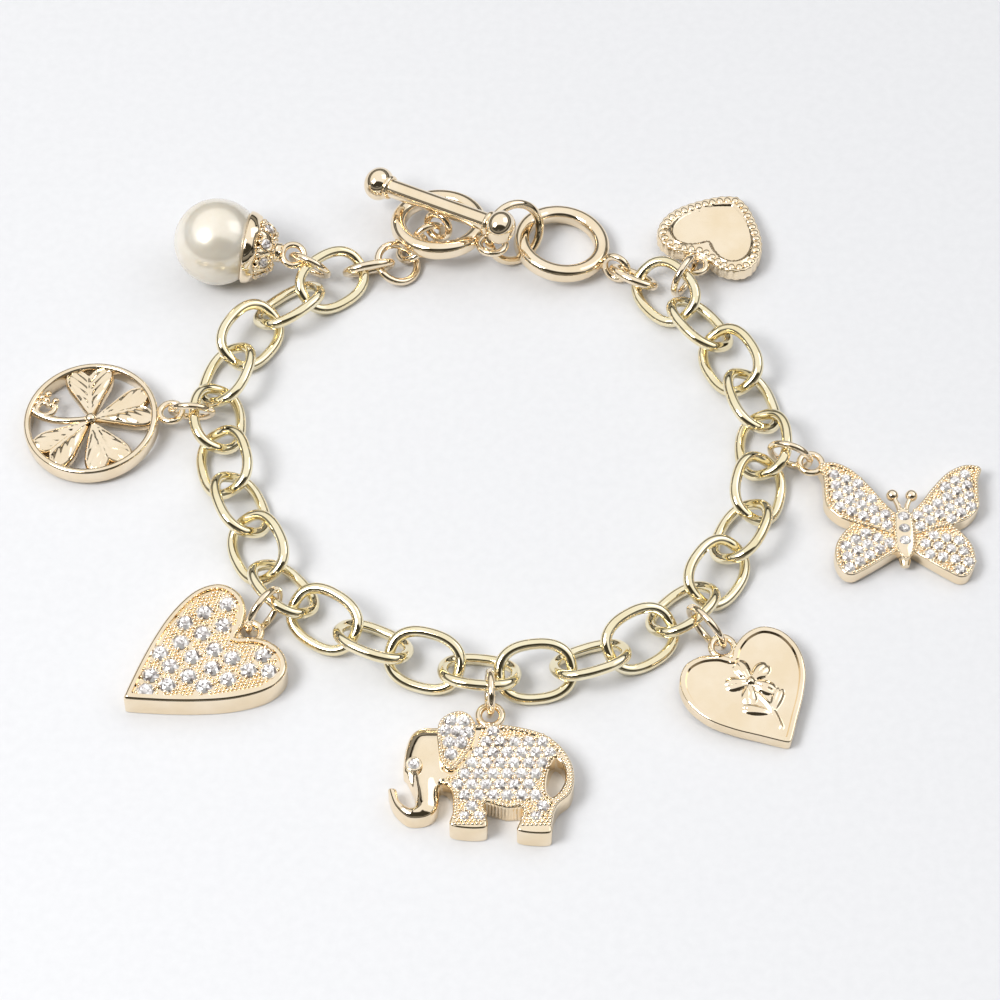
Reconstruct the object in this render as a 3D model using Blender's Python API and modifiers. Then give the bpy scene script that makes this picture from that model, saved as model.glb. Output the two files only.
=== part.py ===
"""Charm bracelet lying open on a flat surface: cable chain, two-ring toggle clasp and seven charms."""
import math

import bmesh
import bpy
from mathutils import Matrix, Vector

MM = 0.001
UP = Vector((0.0, 0.0, 1.0))

# Clearances between pieces that touch on the real bracelet
TOUCH_GAP = 0.3 * MM
RING_GAP = 0.15 * MM
FLOOR_GAP = 0.05 * MM

# Chain
LINK_COUNT = 25
LINK_LENGTH = 9.4 * MM
LINK_WIDTH = 7.5 * MM
LINK_WIRE = 1.4 * MM
CHARM_EVERY = 4
CHARM_LINK_ROLL = 31.0
FREE_LINK_ROLL = 34.0
INNER_LINK_ROLL = -33.0
LINK_CORNERS = 14
LINK_FULLNESS = 2.4

# Toggle clasp
TOGGLE_RING_OUTER = 11.6 * MM
TOGGLE_RING_WIDTH = 1.85 * MM
TOGGLE_RING_HEIGHT = 2.1 * MM
TOGGLE_RING_BEVEL = 0.45 * MM
TOGGLE_STEPS = 24
EYE_OUTER = 4.0 * MM
EYE_WIRE = 0.9 * MM
EYE_SEAT = 0.3 * MM
INNER_EYE_HEADING = -30.8
BAIL_HEADING = -31.0
BAIL_ROLL = 84.0
BAIL_RAISE = 0.6 * MM
BAR_LENGTH = 20.5 * MM
BAR_DIAMETER = 2.25 * MM
BAR_END_DIAMETER = 3.9 * MM
BAR_END_LENGTH = 3.1 * MM
BAR_HEADING = -31.4
BAR_RISE = 9.8
BAR_EYE_TURN = 68.0
BAR_PLACE = Vector((0.08, 0.3, 3.3)) * MM
JOINING_RING_OUTER = 8.15 * MM
JOINING_RING_WIRE = 1.15 * MM
JOINING_TILT = 56.3
JOINING_TURN = -29.7
JOINING_PLACE = Vector((9.08, -1.71, 0.0)) * MM
END_LINK_LENGTH = 6.4 * MM
END_LINK_WIDTH = 4.5 * MM
END_LINK_WIRE = 1.15 * MM
END_RING_OUTER = 5.85 * MM
END_RING_WIRE = 1.0 * MM
BAR_RING_OUTER = 4.5 * MM
BAR_RING_WIRE = 0.95 * MM

# Jump rings and eyes of the charms
JUMP_RING_OUTER = 5.6 * MM
WIDE_RING_OUTER = 6.4 * MM
HEART_EYE_RISE = 0.6 * MM
JUMP_RING_WIRE = 0.9 * MM
CHARM_EYE_OUTER = 3.4 * MM
CHARM_EYE_WIRE = 0.8 * MM
CHARM_EYE_SEAT = 0.25 * MM
RING_CORNERS = 14
RING_LEAN = 0.93

# Charms
PEARL_DIAMETER = 10.4 * MM
PEARL_DROOP = 6.0
PEARL_EYE_TURN = 20.0
CAP_RIM_DIAMETER = 8.7 * MM
CAP_LIP = 0.4 * MM
CAP_TOP_DIAMETER = 2.2 * MM
CAP_REACH = 7.7 * MM
CLOVER_DIAMETER = 15.8 * MM
CLOVER_THICKNESS = 2.2 * MM
CLOVER_RIM = 0.8 * MM
PAVE_HEART_LENGTH = 18.2 * MM
PAVE_HEART_WIDTH = 15.7 * MM
PAVE_HEART_THICKNESS = 3.1 * MM
ELEPHANT_LENGTH = 20.6 * MM
ELEPHANT_HEIGHT = 15.3 * MM
ELEPHANT_THICKNESS = 3.0 * MM
MEDAL_LENGTH = 14.4 * MM
MEDAL_WIDTH = 14.7 * MM
MEDAL_THICKNESS = 1.7 * MM
BUTTERFLY_SPAN = 19.0 * MM
BUTTERFLY_HEIGHT = 15.3 * MM
BUTTERFLY_THICKNESS = 2.0 * MM
PLAIN_HEART_LENGTH = 11.7 * MM
PLAIN_HEART_WIDTH = 12.8 * MM
PLAIN_HEART_THICKNESS = 1.9 * MM
RIM_WIDTH = 0.75 * MM
RIM_DEPTH = 0.35 * MM
STONE_DIAMETER = 1.75 * MM
SMALL_STONE_DIAMETER = 1.3 * MM
STONE_PITCH = 1.72 * MM
STONE_SIDES = 8
STONE_TABLE = 0.55
STONE_RISE = 0.45
STONE_SINK = 0.2 * MM

# Where the clasp lies, and the chosen route of the chain from its left end to its right end
CLASP_PLACE = Vector((-7.45, 38.5, 0.0)) * MM
CLASP_LIFT = 0.8 * MM
CLASP_TILT = 12.0
OUTER_RING_PLACE = Vector((14.76, -2.05, 1.88)) * MM
OUTER_RING_TILT = 6.9
OUTER_RING_LEAN = -5.7
RIGHT_END_LINK = (
    # name, heading of the step, ease in mm, heading, roll, length, width, wire
    "end_link_right", -28.7, -0.44, -30.5, -42.2, END_LINK_LENGTH, END_LINK_WIDTH, END_LINK_WIRE,
)
RIGHT_END_HEADING = -34.1
LEFT_SMALL_RINGS = [
    # name, heading of the step, ease in mm, heading, roll, length, width, wire
    ("bar_ring_2", 198.7, -0.17, 205.5, 91.8, BAR_RING_OUTER, BAR_RING_OUTER, BAR_RING_WIRE),
    ("bar_ring_1", 210.8, 0.11, 255.4, 33.5, BAR_RING_OUTER, BAR_RING_OUTER, BAR_RING_WIRE),
    ("end_ring_left", 232.5, -0.06, 245.7, -22.1, END_RING_OUTER, END_RING_OUTER, END_RING_WIRE),
    ("end_link_left", 200.0, 0.0, 193.9, 64.3, END_LINK_LENGTH, END_LINK_WIDTH, END_LINK_WIRE),
]
LEFT_END_HEADING = 204.0
LEFT_END_EASE = -0.28 * MM
RIGHT_END_EASE = -0.48 * MM
CHAIN_ROUTE = [
    (-20.2, 30.6),
    (-29.9, 21.9),
    (-33.1, 9.9),
    (-29.8, -2.7),
    (-24.3, -14.3),
    (-13.6, -21.4),
    (-1.5, -25.1),
    (10.4, -23.3),
    (20.6, -16.5),
    (27.2, -6.6),
    (30.5, 5.7),
    (27.3, 18.1),
    (19.7, 28.9),
]

# Outlines as shares of the named length and width of the charm
HEART_SLIM = [
    # width, length
    (0.0, 0.0),
    (0.29, 0.155),
    (0.62, 0.37),
    (0.88, 0.58),
    (1.0, 0.77),
    (0.94, 0.92),
    (0.64, 1.0),
    (0.36, 0.97),
    (0.16, 0.9),
    (0.0, 0.815),
]
HEART_ROUND = [
    # width, length
    (0.0, 0.0),
    (0.28, 0.14),
    (0.62, 0.32),
    (0.89, 0.52),
    (1.0, 0.70),
    (0.91, 0.88),
    (0.66, 0.99),
    (0.36, 0.99),
    (0.14, 0.94),
    (0.0, 0.87),
]
HEART_WIDE = [
    # width, length
    (0.0, 0.0),
    (0.12, 0.02),
    (0.30, 0.09),
    (0.62, 0.26),
    (0.88, 0.45),
    (1.0, 0.64),
    (0.97, 0.83),
    (0.79, 0.96),
    (0.5, 1.0),
    (0.25, 0.965),
    (0.0, 0.92),
]
BUTTERFLY_WING = [
    # half span, height above the waist
    (0.09, 0.142),
    (0.22, 0.23),
    (0.39, 0.375),
    (0.58, 0.505),
    (0.77, 0.574),
    (0.92, 0.574),
    (1.0, 0.545),
    (0.95, 0.45),
    (0.935, 0.325),
    (0.93, 0.20),
    (0.79, 0.093),
    (0.59, 0.039),
    (0.74, -0.043),
    (0.84, -0.155),
    (0.85, -0.28),
    (0.77, -0.385),
    (0.66, -0.42),
    (0.51, -0.37),
    (0.32, -0.293),
    (0.13, -0.21),
]
ELEPHANT_OUTLINE = [
    # length, height
    (-0.235, 0.465),
    (-0.02, 0.465),
    (0.115, 0.465),
    (0.215, 0.44),
    (0.34, 0.38),
    (0.43, 0.28),
    (0.487, 0.14),
    (0.5, 0.0),
    (0.475, -0.113),
    (0.415, -0.19),
    (0.385, -0.27),
    (0.36, -0.438),
    (0.2, -0.42),
    (0.21, -0.31),
    (0.205, -0.23),
    (0.13, -0.235),
    (0.03, -0.19),
    (0.03, -0.28),
    (0.02, -0.395),
    (-0.155, -0.376),
    (-0.15, -0.25),
    (-0.16, -0.09),
    (-0.215, -0.03),
    (-0.225, -0.176),
    (-0.255, -0.25),
    (-0.31, -0.288),
    (-0.39, -0.282),
    (-0.46, -0.19),
    (-0.495, -0.063),
    (-0.48, -0.035),
    (-0.45, -0.05),
    (-0.43, -0.14),
    (-0.385, -0.195),
    (-0.352, -0.176),
    (-0.355, -0.063),
    (-0.395, 0.063),
    (-0.415, 0.12),
    (-0.405, 0.28),
    (-0.373, 0.405),
    (-0.315, 0.458),
]
ELEPHANT_EAR = [
    # length, height
    (-0.235, 0.41),
    (-0.21, 0.495),
    (-0.135, 0.555),
    (-0.07, 0.535),
    (-0.033, 0.46),
    (-0.033, 0.343),
    (-0.07, 0.215),
    (-0.118, 0.113),
    (-0.158, 0.065),
    (-0.207, 0.113),
    (-0.228, 0.24),
]
ELEPHANT_TAIL_HOLE = [
    # length, height
    (0.396, 0.177),
    (0.437, 0.127),
    (0.448, 0.012),
    (0.419, -0.088),
    (0.379, -0.139),
    (0.35, -0.088),
    (0.35, 0.012),
    (0.367, 0.1),
]
ELEPHANT_PAVE = [
    # length, height
    (-0.02, 0.44),
    (0.2, 0.42),
    (0.35, 0.33),
    (0.41, 0.2),
    (0.345, 0.1),
    (0.33, -0.1),
    (0.385, -0.2),
    (0.36, -0.3),
    (0.225, -0.29),
    (0.2, -0.2),
    (0.03, -0.17),
    (0.02, -0.3),
    (-0.14, -0.29),
    (-0.145, -0.02),
    (-0.05, 0.16),
    (-0.01, 0.3),
]
HEART_STONES = [
    # half width, length
    (-0.56, 0.9),
    (-0.62, 0.75),
    (-0.28, 0.8),
    (-0.68, 0.6),
    (-0.33, 0.66),
    (-0.39, 0.51),
    (0.0, 0.66),
    (-0.45, 0.36),
    (-0.07, 0.52),
    (0.26, 0.72),
    (-0.14, 0.37),
    (0.25, 0.58),
    (0.56, 0.76),
    (-0.2, 0.23),
    (0.18, 0.43),
    (0.53, 0.62),
    (0.13, 0.29),
    (0.44, 0.47),
    (-0.01, 0.1),
]
EAR_STONES = [
    # length, height
    (-0.17, 0.47),
    (-0.09, 0.46),
    (-0.185, 0.36),
    (-0.085, 0.35),
    (-0.135, 0.41),
    (-0.145, 0.26),
    (-0.16, 0.16),
]

# Charms along the chain: heading of the jump ring from the chain, turn of the charm, spin of the ring
CHARM_POSES = {
    # charm: link, place along it in mm, ring heading, charm turn, ring spin, tilt
    "clover": (5, -0.3, 177.0, 90.0, 20.0, 3.5),
    "pave_heart": (9, 1.2, 234.0, 33.3, 0.0, 0.0),
    "elephant": (13, 1.5, 273.0, 90.0, 4.0, 0.0),
    "medal_heart": (17, -0.3, -50.0, 120.5, -8.0, 4.0),
    "butterfly": (21, -1.8, -20.0, 90.0, -8.0, 2.5),
    "plain_heart": (25, 0.0, 57.0, -116.7, 0.0, 5.0),
}
PEARL_POSE = (1, 1.2, 152.0, 172.0, 20.0)
WIDE_RING_CHARMS = ("pave_heart", "medal_heart")


def material(name, colour, metallic, roughness):
    """A plain Principled finish."""
    finish = bpy.data.materials.new(name)
    finish.use_nodes = True
    shader = finish.node_tree.nodes["Principled BSDF"]
    shader.inputs["Base Color"].default_value = (*colour, 1.0)
    shader.inputs["Metallic"].default_value = metallic
    shader.inputs["Roughness"].default_value = roughness
    return finish


def new_collection(name):
    collection = bpy.data.collections.new(name)
    bpy.context.scene.collection.children.link(collection)
    return collection


def basis(along, across):
    """Rotation whose X runs along, whose Y runs across and whose Z is the plane's normal."""
    x_axis = along.normalized()
    z_axis = x_axis.cross(across).normalized()
    y_axis = z_axis.cross(x_axis)
    return Matrix((x_axis, y_axis, z_axis)).transposed()


def floor_direction(heading):
    """Unit vector on the floor, in degrees from +X towards +Y."""
    angle = math.radians(heading)
    return Vector((math.cos(angle), math.sin(angle), 0.0))


def rolled_basis(heading, roll):
    """Plane along a heading on the floor, its left side raised by the roll."""
    along = floor_direction(heading)
    left = UP.cross(along)
    angle = math.radians(roll)
    return basis(along, left * math.cos(angle) + UP * math.sin(angle))


def smooth_points(points, steps, closed):
    """Points on a Catmull-Rom curve through the given ones."""
    count = len(points)
    result = []
    spans = count if closed else count - 1
    for index in range(spans):
        if closed:
            four = [points[(index + shift) % count] for shift in (-1, 0, 1, 2)]
        else:
            four = [points[min(max(index + shift, 0), count - 1)] for shift in (-1, 0, 1, 2)]
        before, start, end, after = [Vector(point) for point in four]
        for step in range(steps):
            t = step / steps
            result.append(
                0.5
                * (
                    2.0 * start
                    + (end - before) * t
                    + (2.0 * before - 5.0 * start + 4.0 * end - after) * t ** 2
                    + (3.0 * start - before - 3.0 * end + after) * t ** 3
                )
            )
    if not closed:
        result.append(Vector(points[-1]))
    return result


class Loop:
    """A closed oval of round wire."""

    def __init__(self, name, centre, rotation, outer_length, outer_width, wire):
        self.name = name
        self.centre = centre
        self.rotation = rotation
        self.half_length = (outer_length - wire) / 2
        self.half_width = (outer_width - wire) / 2
        self.wire = wire

    def drop(self):
        """How far the lowest point lies below the centre."""
        along = self.rotation.col[0].z * self.half_length
        across = self.rotation.col[1].z * self.half_width
        return math.hypot(along, across) + self.wire / 2


def pitch_between(one, other, gap=TOUCH_GAP):
    """Distance between the centres of two interlocked loops that almost touch."""
    return one.half_length + other.half_length - (one.wire + other.wire) / 2 - gap


def fuller(value, fullness):
    """A cosine or sine drawn out towards the corners of its oval."""
    return math.copysign(abs(value) ** (2.0 / fullness), value)


def wire_object(loop, points, finish, collection, fullness=2.0):
    """The loop as a bevelled curve."""
    curve = bpy.data.curves.new(loop.name, "CURVE")
    curve.dimensions = "3D"
    curve.bevel_depth = loop.wire / 2
    curve.bevel_resolution = 1
    curve.render_resolution_u = 0
    spline = curve.splines.new("POLY")
    spline.points.add(points - 1)
    for index, point in enumerate(spline.points):
        angle = 2 * math.pi * index / points
        x = loop.half_length * fuller(math.cos(angle), fullness)
        y = loop.half_width * fuller(math.sin(angle), fullness)
        point.co = (x, y, 0.0, 1.0)
    spline.use_cyclic_u = True
    curve.materials.append(finish)
    piece = bpy.data.objects.new(loop.name, curve)
    collection.objects.link(piece)
    piece.matrix_world = Matrix.Translation(loop.centre) @ loop.rotation.to_4x4()
    return piece


def place(piece, collection, finish, matrix=None):
    """Move a new object to its collection and pose, with its finish."""
    for owner in list(piece.users_collection):
        owner.objects.unlink(piece)
    collection.objects.link(piece)
    if piece.data.materials:
        piece.data.materials[0] = finish
    else:
        piece.data.materials.append(finish)
    if matrix is not None:
        piece.matrix_world = matrix
    return piece


def mesh_piece(name, bm):
    mesh = bpy.data.meshes.new(name)
    bmesh.ops.recalc_face_normals(bm, faces=bm.faces)
    bm.to_mesh(mesh)
    bm.free()
    piece = bpy.data.objects.new(name, mesh)
    bpy.context.scene.collection.objects.link(piece)
    return piece


def shade(piece, angle=40.0):
    """Smooth shading with sharp creases."""
    piece.data.shade_smooth()
    piece.data.set_sharp_from_angle(angle=math.radians(angle))


def torus(name, outer, wire, points=10, sides=6):
    bpy.ops.mesh.primitive_torus_add(
        major_segments=points,
        minor_segments=sides,
        major_radius=(outer - wire) / 2,
        minor_radius=wire / 2,
    )
    piece = bpy.context.active_object
    piece.name = name
    return piece


def ball(name, diameter, length, segments=12, rings=7):
    """A round ball, or one flattened along X."""
    bm = bmesh.new()
    bmesh.ops.create_uvsphere(bm, u_segments=segments, v_segments=rings, radius=diameter / 2)
    bmesh.ops.rotate(bm, verts=bm.verts, matrix=Matrix.Rotation(math.pi / 2, 3, "Y"))
    bmesh.ops.scale(bm, verts=bm.verts, vec=(length / diameter, 1.0, 1.0))
    return mesh_piece(name, bm)


def turned(name, profile, steps, closed=True):
    """A profile of (radius, height) points turned about Z, either closed or ending on the axis."""
    mesh = bpy.data.meshes.new(name)
    points = [(radius, 0.0, height) for radius, height in profile]
    count = len(points) if closed else len(points) - 1
    edges = [(index, (index + 1) % len(points)) for index in range(count)]
    mesh.from_pydata(points, edges, [])
    piece = bpy.data.objects.new(name, mesh)
    bpy.context.scene.collection.objects.link(piece)
    screw = piece.modifiers.new("turn", "SCREW")
    screw.steps = steps
    screw.render_steps = steps
    screw.use_merge_vertices = True
    screw.merge_threshold = 0.001 * MM
    screw.use_normal_calculate = True
    return piece


def plate(name, outline, bottom, top, holes=()):
    """A flat plate with the given outline between two heights."""
    curve = bpy.data.curves.new(name, "CURVE")
    curve.dimensions = "2D"
    curve.fill_mode = "BOTH"
    curve.extrude = (top - bottom) / 2
    curve.render_resolution_u = 0
    for points in (outline, *holes):
        spline = curve.splines.new("POLY")
        spline.points.add(len(points) - 1)
        for target, point in zip(spline.points, points):
            target.co = (point[0], point[1], 0.0, 1.0)
        spline.use_cyclic_u = True
    guide = bpy.data.objects.new(name, curve)
    bpy.context.scene.collection.objects.link(guide)
    graph = bpy.context.evaluated_depsgraph_get()
    mesh = bpy.data.meshes.new_from_object(guide.evaluated_get(graph))
    bpy.data.objects.remove(guide)
    bm = bmesh.new()
    bm.from_mesh(mesh)
    bpy.data.meshes.remove(mesh)
    bmesh.ops.remove_doubles(bm, verts=bm.verts, dist=0.001 * MM)
    bmesh.ops.translate(bm, verts=bm.verts, vec=(0.0, 0.0, (top + bottom) / 2))
    return mesh_piece(name, bm)


def inset_outline(outline, distance):
    """The outline moved inwards by a distance, point by point."""
    count = len(outline)
    area = sum(
        outline[i][0] * outline[(i + 1) % count][1] - outline[(i + 1) % count][0] * outline[i][1]
        for i in range(count)
    )
    turn = 1.0 if area > 0 else -1.0
    result = []
    for index in range(count):
        before = Vector(outline[index - 1][:2])
        here = Vector(outline[index][:2])
        after = Vector(outline[(index + 1) % count][:2])
        first = (here - before).normalized()
        second = (after - here).normalized()
        inward_one = Vector((-first.y, first.x)) * turn
        inward_two = Vector((-second.y, second.x)) * turn
        middle = (inward_one + inward_two).normalized()
        lean = max(middle.dot(inward_one), 0.5)
        result.append(here + middle * (distance / lean))
    return result


def dished_plate(name, outline, thickness, rim, depth):
    """A plate whose top is sunk inside a raised rim."""
    piece = plate(name, outline, 0.0, thickness)
    sink = plate(name + "_sink", inset_outline(outline, rim), thickness - depth, thickness + depth)
    return piece, sink


def heart_outline(table, width, length, steps=2):
    """A whole heart, tip at the origin and lobes towards +Y, from its half as shares."""
    half = [(share_x * width / 2, share_y * length) for share_x, share_y in table]
    side = smooth_points([Vector((x, y)) for x, y in half], steps, False)
    mirrored = [Vector((-point.x, point.y)) for point in reversed(side[1:-1])]
    return side + mirrored


def scaled(table, width, length):
    return [Vector((share_x * width, share_y * length)) for share_x, share_y in table]


def inside(point, outline):
    """Whether a point lies in an outline, by counting crossings."""
    crossings = False
    count = len(outline)
    for index in range(count):
        ax, ay = outline[index][:2]
        bx, by = outline[(index + 1) % count][:2]
        if (ay > point[1]) != (by > point[1]):
            if point[0] < (bx - ax) * (point[1] - ay) / (by - ay) + ax:
                crossings = not crossings
    return crossings


def edge_distance(point, outline):
    """Distance from a point to the nearest edge of an outline."""
    best = 1.0
    count = len(outline)
    here = Vector(point[:2])
    for index in range(count):
        start = Vector(outline[index][:2])
        span = Vector(outline[(index + 1) % count][:2]) - start
        share = min(max((here - start).dot(span) / span.length_squared, 0.0), 1.0)
        best = min(best, (start + span * share - here).length)
    return best


def stone_rows(outline, pitch, margin, avoid=None):
    """Places of stones in staggered rows inside an outline."""
    xs = [point[0] for point in outline]
    ys = [point[1] for point in outline]
    row_height = pitch * math.sqrt(3) / 2
    rows = int((max(ys) - min(ys)) / row_height) + 1
    columns = int((max(xs) - min(xs)) / pitch) + 2
    places = []
    for row in range(rows):
        for column in range(columns):
            x = min(xs) + margin + (column + 0.5 * (row % 2)) * pitch
            y = max(ys) - margin - row * row_height
            if not inside((x, y), outline) or edge_distance((x, y), outline) < margin:
                continue
            if avoid and (inside((x, y), avoid) or edge_distance((x, y), avoid) < margin):
                continue
            places.append((x, y))
    return places


def stones(name, places, diameter, level):
    """Cut stones with a flat table and eight crown facets, standing in one mesh."""
    bm = bmesh.new()
    rise = STONE_RISE * diameter / 2
    for x, y in places:
        bmesh.ops.create_cone(
            bm,
            cap_ends=True,
            segments=STONE_SIDES,
            radius1=diameter / 2 * (1.0 + STONE_SINK / diameter),
            radius2=diameter / 2 * STONE_TABLE,
            depth=rise + STONE_SINK,
            matrix=Matrix.Translation((x, y, level + (rise - STONE_SINK) / 2)),
        )
    return mesh_piece(name, bm)


def fuse(base, details, operation="UNION"):
    """Join or cut the details with one exact Boolean, and keep them out of the model."""
    group = bpy.data.collections.new(base.name + "_" + operation.lower())
    details_collection.children.link(group)
    for detail in details:
        for owner in list(detail.users_collection):
            owner.objects.unlink(detail)
        group.objects.link(detail)
        detail.parent = base
        detail.hide_render = True
        detail.display_type = "WIRE"
    boolean = base.modifiers.new(operation.lower(), "BOOLEAN")
    boolean.operation = operation
    boolean.solver = "EXACT"
    boolean.operand_type = "COLLECTION"
    boolean.collection = group
    return base


def shift(piece, vector, rotation=None):
    """Pose a detail in its charm's own frame."""
    matrix = Matrix.Translation(vector)
    if rotation is not None:
        matrix = matrix @ rotation
    piece.matrix_world = matrix @ piece.matrix_world
    return piece


def charm_eye(name, centre, height):
    """A flat soldered eye whose hole takes the jump ring."""
    return shift(torus(name, CHARM_EYE_OUTER, CHARM_EYE_WIRE), (centre[0], centre[1], height))


def eye_reach():
    """Distance from a charm's edge to the centre of its eye."""
    return CHARM_EYE_OUTER / 2 - CHARM_EYE_SEAT


def clover_charm():
    """Round openwork disc: a rim, four leaves, a curved stem and a hub."""
    radius = CLOVER_DIAMETER / 2
    inner = radius - CLOVER_RIM
    rim = turned(
        "clover_charm",
        [(inner, 0.0), (inner, CLOVER_THICKNESS), (radius, CLOVER_THICKNESS), (radius, 0.0)],
        28,
    )
    leaf_top = CLOVER_THICKNESS * 0.9
    leaf_bottom = CLOVER_THICKNESS * 0.25
    leaf_length = inner + CLOVER_RIM * 0.5
    leaf_width = leaf_length * 0.74
    details = []
    for number, heading in enumerate((95.0, 16.0, -66.5, 223.0)):
        outline = heart_outline(HEART_SLIM, leaf_width, leaf_length, 1)
        leaf = plate(f"clover_leaf_{number}", outline, leaf_bottom, leaf_top)
        turn = Matrix.Rotation(math.radians(heading - 90.0), 4, "Z")
        details.append(shift(leaf, (0.0, 0.0, 0.0), turn))
    stem_points = []
    for step in range(6):
        share = step / 5
        angle = math.radians(172.0 + 10.0 * math.sin(math.pi * share))
        stem_points.append(Vector((math.cos(angle), math.sin(angle))) * share * leaf_length)
    stem_half = CLOVER_RIM * 0.5
    side = Vector((-math.sin(math.radians(172.0)), math.cos(math.radians(172.0)))) * stem_half
    stem_outline = [point + side for point in stem_points]
    stem_outline += [point - side for point in reversed(stem_points)]
    details.append(plate("clover_stem", stem_outline, leaf_bottom, leaf_top * 0.9))
    bpy.ops.mesh.primitive_cylinder_add(
        vertices=10, radius=CLOVER_RIM, depth=CLOVER_THICKNESS - leaf_bottom * 0.6
    )
    hub = bpy.context.active_object
    details.append(shift(hub, (0.0, 0.0, (CLOVER_THICKNESS + leaf_bottom * 0.6) / 2)))
    eye = Vector((radius + eye_reach(), 0.0))
    eye.rotate(Matrix.Rotation(math.radians(6.0), 2))
    height = CLOVER_THICKNESS * 0.55
    details.append(charm_eye("clover_eye", eye, height))
    fuse(rim, details)
    outline = [Vector((radius, 0.0)), Vector((-radius, 0.0)), Vector((0.0, radius)), Vector((0.0, -radius))]
    return rim, eye, height, outline


def pave_heart_charm():
    """Slim heart with a plain rim and stones set in its sunk ground."""
    outline = heart_outline(HEART_SLIM, PAVE_HEART_WIDTH, PAVE_HEART_LENGTH)
    heart, sink = dished_plate("pave_heart_charm", outline, PAVE_HEART_THICKNESS, RIM_WIDTH, RIM_DEPTH)
    fuse(heart, [sink], "DIFFERENCE")
    places = [(x * PAVE_HEART_WIDTH / 2, y * PAVE_HEART_LENGTH) for x, y in HEART_STONES]
    level = PAVE_HEART_THICKNESS - RIM_DEPTH
    notch = HEART_SLIM[-1][1] * PAVE_HEART_LENGTH
    eye = Vector((0.0, notch + eye_reach() - CHARM_EYE_SEAT + HEART_EYE_RISE))
    height = PAVE_HEART_THICKNESS * 0.72
    field = stones("pave_heart_stones", places, STONE_DIAMETER, level)
    fuse(heart, [field, charm_eye("pave_heart_eye", eye, height)])
    return heart, eye, height, outline


def elephant_charm():
    """Elephant in side view: smooth head and trunk, raised ear, stones on body and ear."""
    size = (ELEPHANT_LENGTH, ELEPHANT_HEIGHT)
    outline = scaled(ELEPHANT_OUTLINE, *size)
    hole = scaled(ELEPHANT_TAIL_HOLE, *size)
    ear_outline = scaled(ELEPHANT_EAR, *size)
    body = plate("elephant_charm", outline, 0.0, ELEPHANT_THICKNESS, [hole])
    ear_level = ELEPHANT_THICKNESS * 1.15
    ear = plate("elephant_ear", ear_outline, ELEPHANT_THICKNESS * 0.4, ear_level)
    field = scaled(ELEPHANT_PAVE, *size)
    margin = SMALL_STONE_DIAMETER * 0.55
    body_places = stone_rows(field, STONE_PITCH, margin, ear_outline)
    ear_places = [(x * size[0], y * size[1]) for x, y in EAR_STONES]
    body_stones = stones("elephant_stones", body_places, SMALL_STONE_DIAMETER, ELEPHANT_THICKNESS)
    ear_stones = stones("elephant_ear_stones", ear_places, SMALL_STONE_DIAMETER, ear_level)
    eye_stone = stones(
        "elephant_eye_stone",
        [(-0.358 * size[0], 0.113 * size[1])],
        SMALL_STONE_DIAMETER,
        ELEPHANT_THICKNESS,
    )
    eye = Vector((0.05 * ELEPHANT_LENGTH, 0.465 * ELEPHANT_HEIGHT + eye_reach()))
    height = ELEPHANT_THICKNESS * 0.73
    details = [ear, body_stones, ear_stones, eye_stone, charm_eye("elephant_eye", eye, height)]
    fuse(body, details)
    return body, eye, height, outline


def medal_heart_charm():
    """Round heart medal with a raised rim and a raised flower with two leaves."""
    outline = heart_outline(HEART_ROUND, MEDAL_WIDTH, MEDAL_LENGTH)
    heart, sink = dished_plate("medal_heart_charm", outline, MEDAL_THICKNESS, RIM_WIDTH, RIM_DEPTH)
    fuse(heart, [sink], "DIFFERENCE")
    level = MEDAL_THICKNESS - RIM_DEPTH
    flower = Vector((0.0, MEDAL_LENGTH * 0.6, level))
    petal_length = MEDAL_LENGTH * 0.17
    relief = RIM_DEPTH * 1.6
    details = []
    for number in range(5):
        angle = math.radians(90.0 + 72.0 * number)
        turn = Matrix.Rotation(angle, 4, "Z")
        petal = ball(f"medal_petal_{number}", petal_length * 0.8, petal_length, 8, 5)
        petal.matrix_world = Matrix.Diagonal((1.0, 1.0, relief / petal_length * 2.0, 1.0))
        offset = turn @ Vector((petal_length * 0.72, 0.0, 0.0))
        details.append(shift(petal, flower + offset, turn))
    centre = ball("medal_centre", petal_length * 0.55, petal_length * 0.55, 8, 5)
    details.append(shift(centre, flower + Vector((0.0, 0.0, RIM_DEPTH * 0.4))))
    for number, side in enumerate((-1.0, 1.0)):
        turn = Matrix.Rotation(math.radians(-90.0 + 48.0 * side), 4, "Z")
        leaf = ball(f"medal_leaf_{number}", petal_length * 0.55, petal_length * 1.5, 8, 5)
        leaf.matrix_world = Matrix.Diagonal((1.0, 1.0, relief / petal_length * 2.4, 1.0))
        base = Vector((0.0, MEDAL_LENGTH * 0.3, level))
        details.append(shift(leaf, base - turn @ Vector((petal_length * 0.85, 0.0, 0.0)), turn))
    stem_half = petal_length * 0.1
    stem_outline = [
        Vector((-stem_half, MEDAL_LENGTH * 0.14)),
        Vector((stem_half, MEDAL_LENGTH * 0.14)),
        Vector((stem_half, MEDAL_LENGTH * 0.55)),
        Vector((-stem_half, MEDAL_LENGTH * 0.55)),
    ]
    details.append(plate("medal_stem", stem_outline, level * 0.8, level + RIM_DEPTH * 0.5))
    notch = HEART_ROUND[-1][1] * MEDAL_LENGTH
    eye = Vector((0.0, notch + eye_reach() - CHARM_EYE_SEAT + HEART_EYE_RISE))
    height = MEDAL_THICKNESS * 0.6
    details.append(charm_eye("medal_eye", eye, height))
    fuse(heart, details)
    return heart, eye, height, outline


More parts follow.
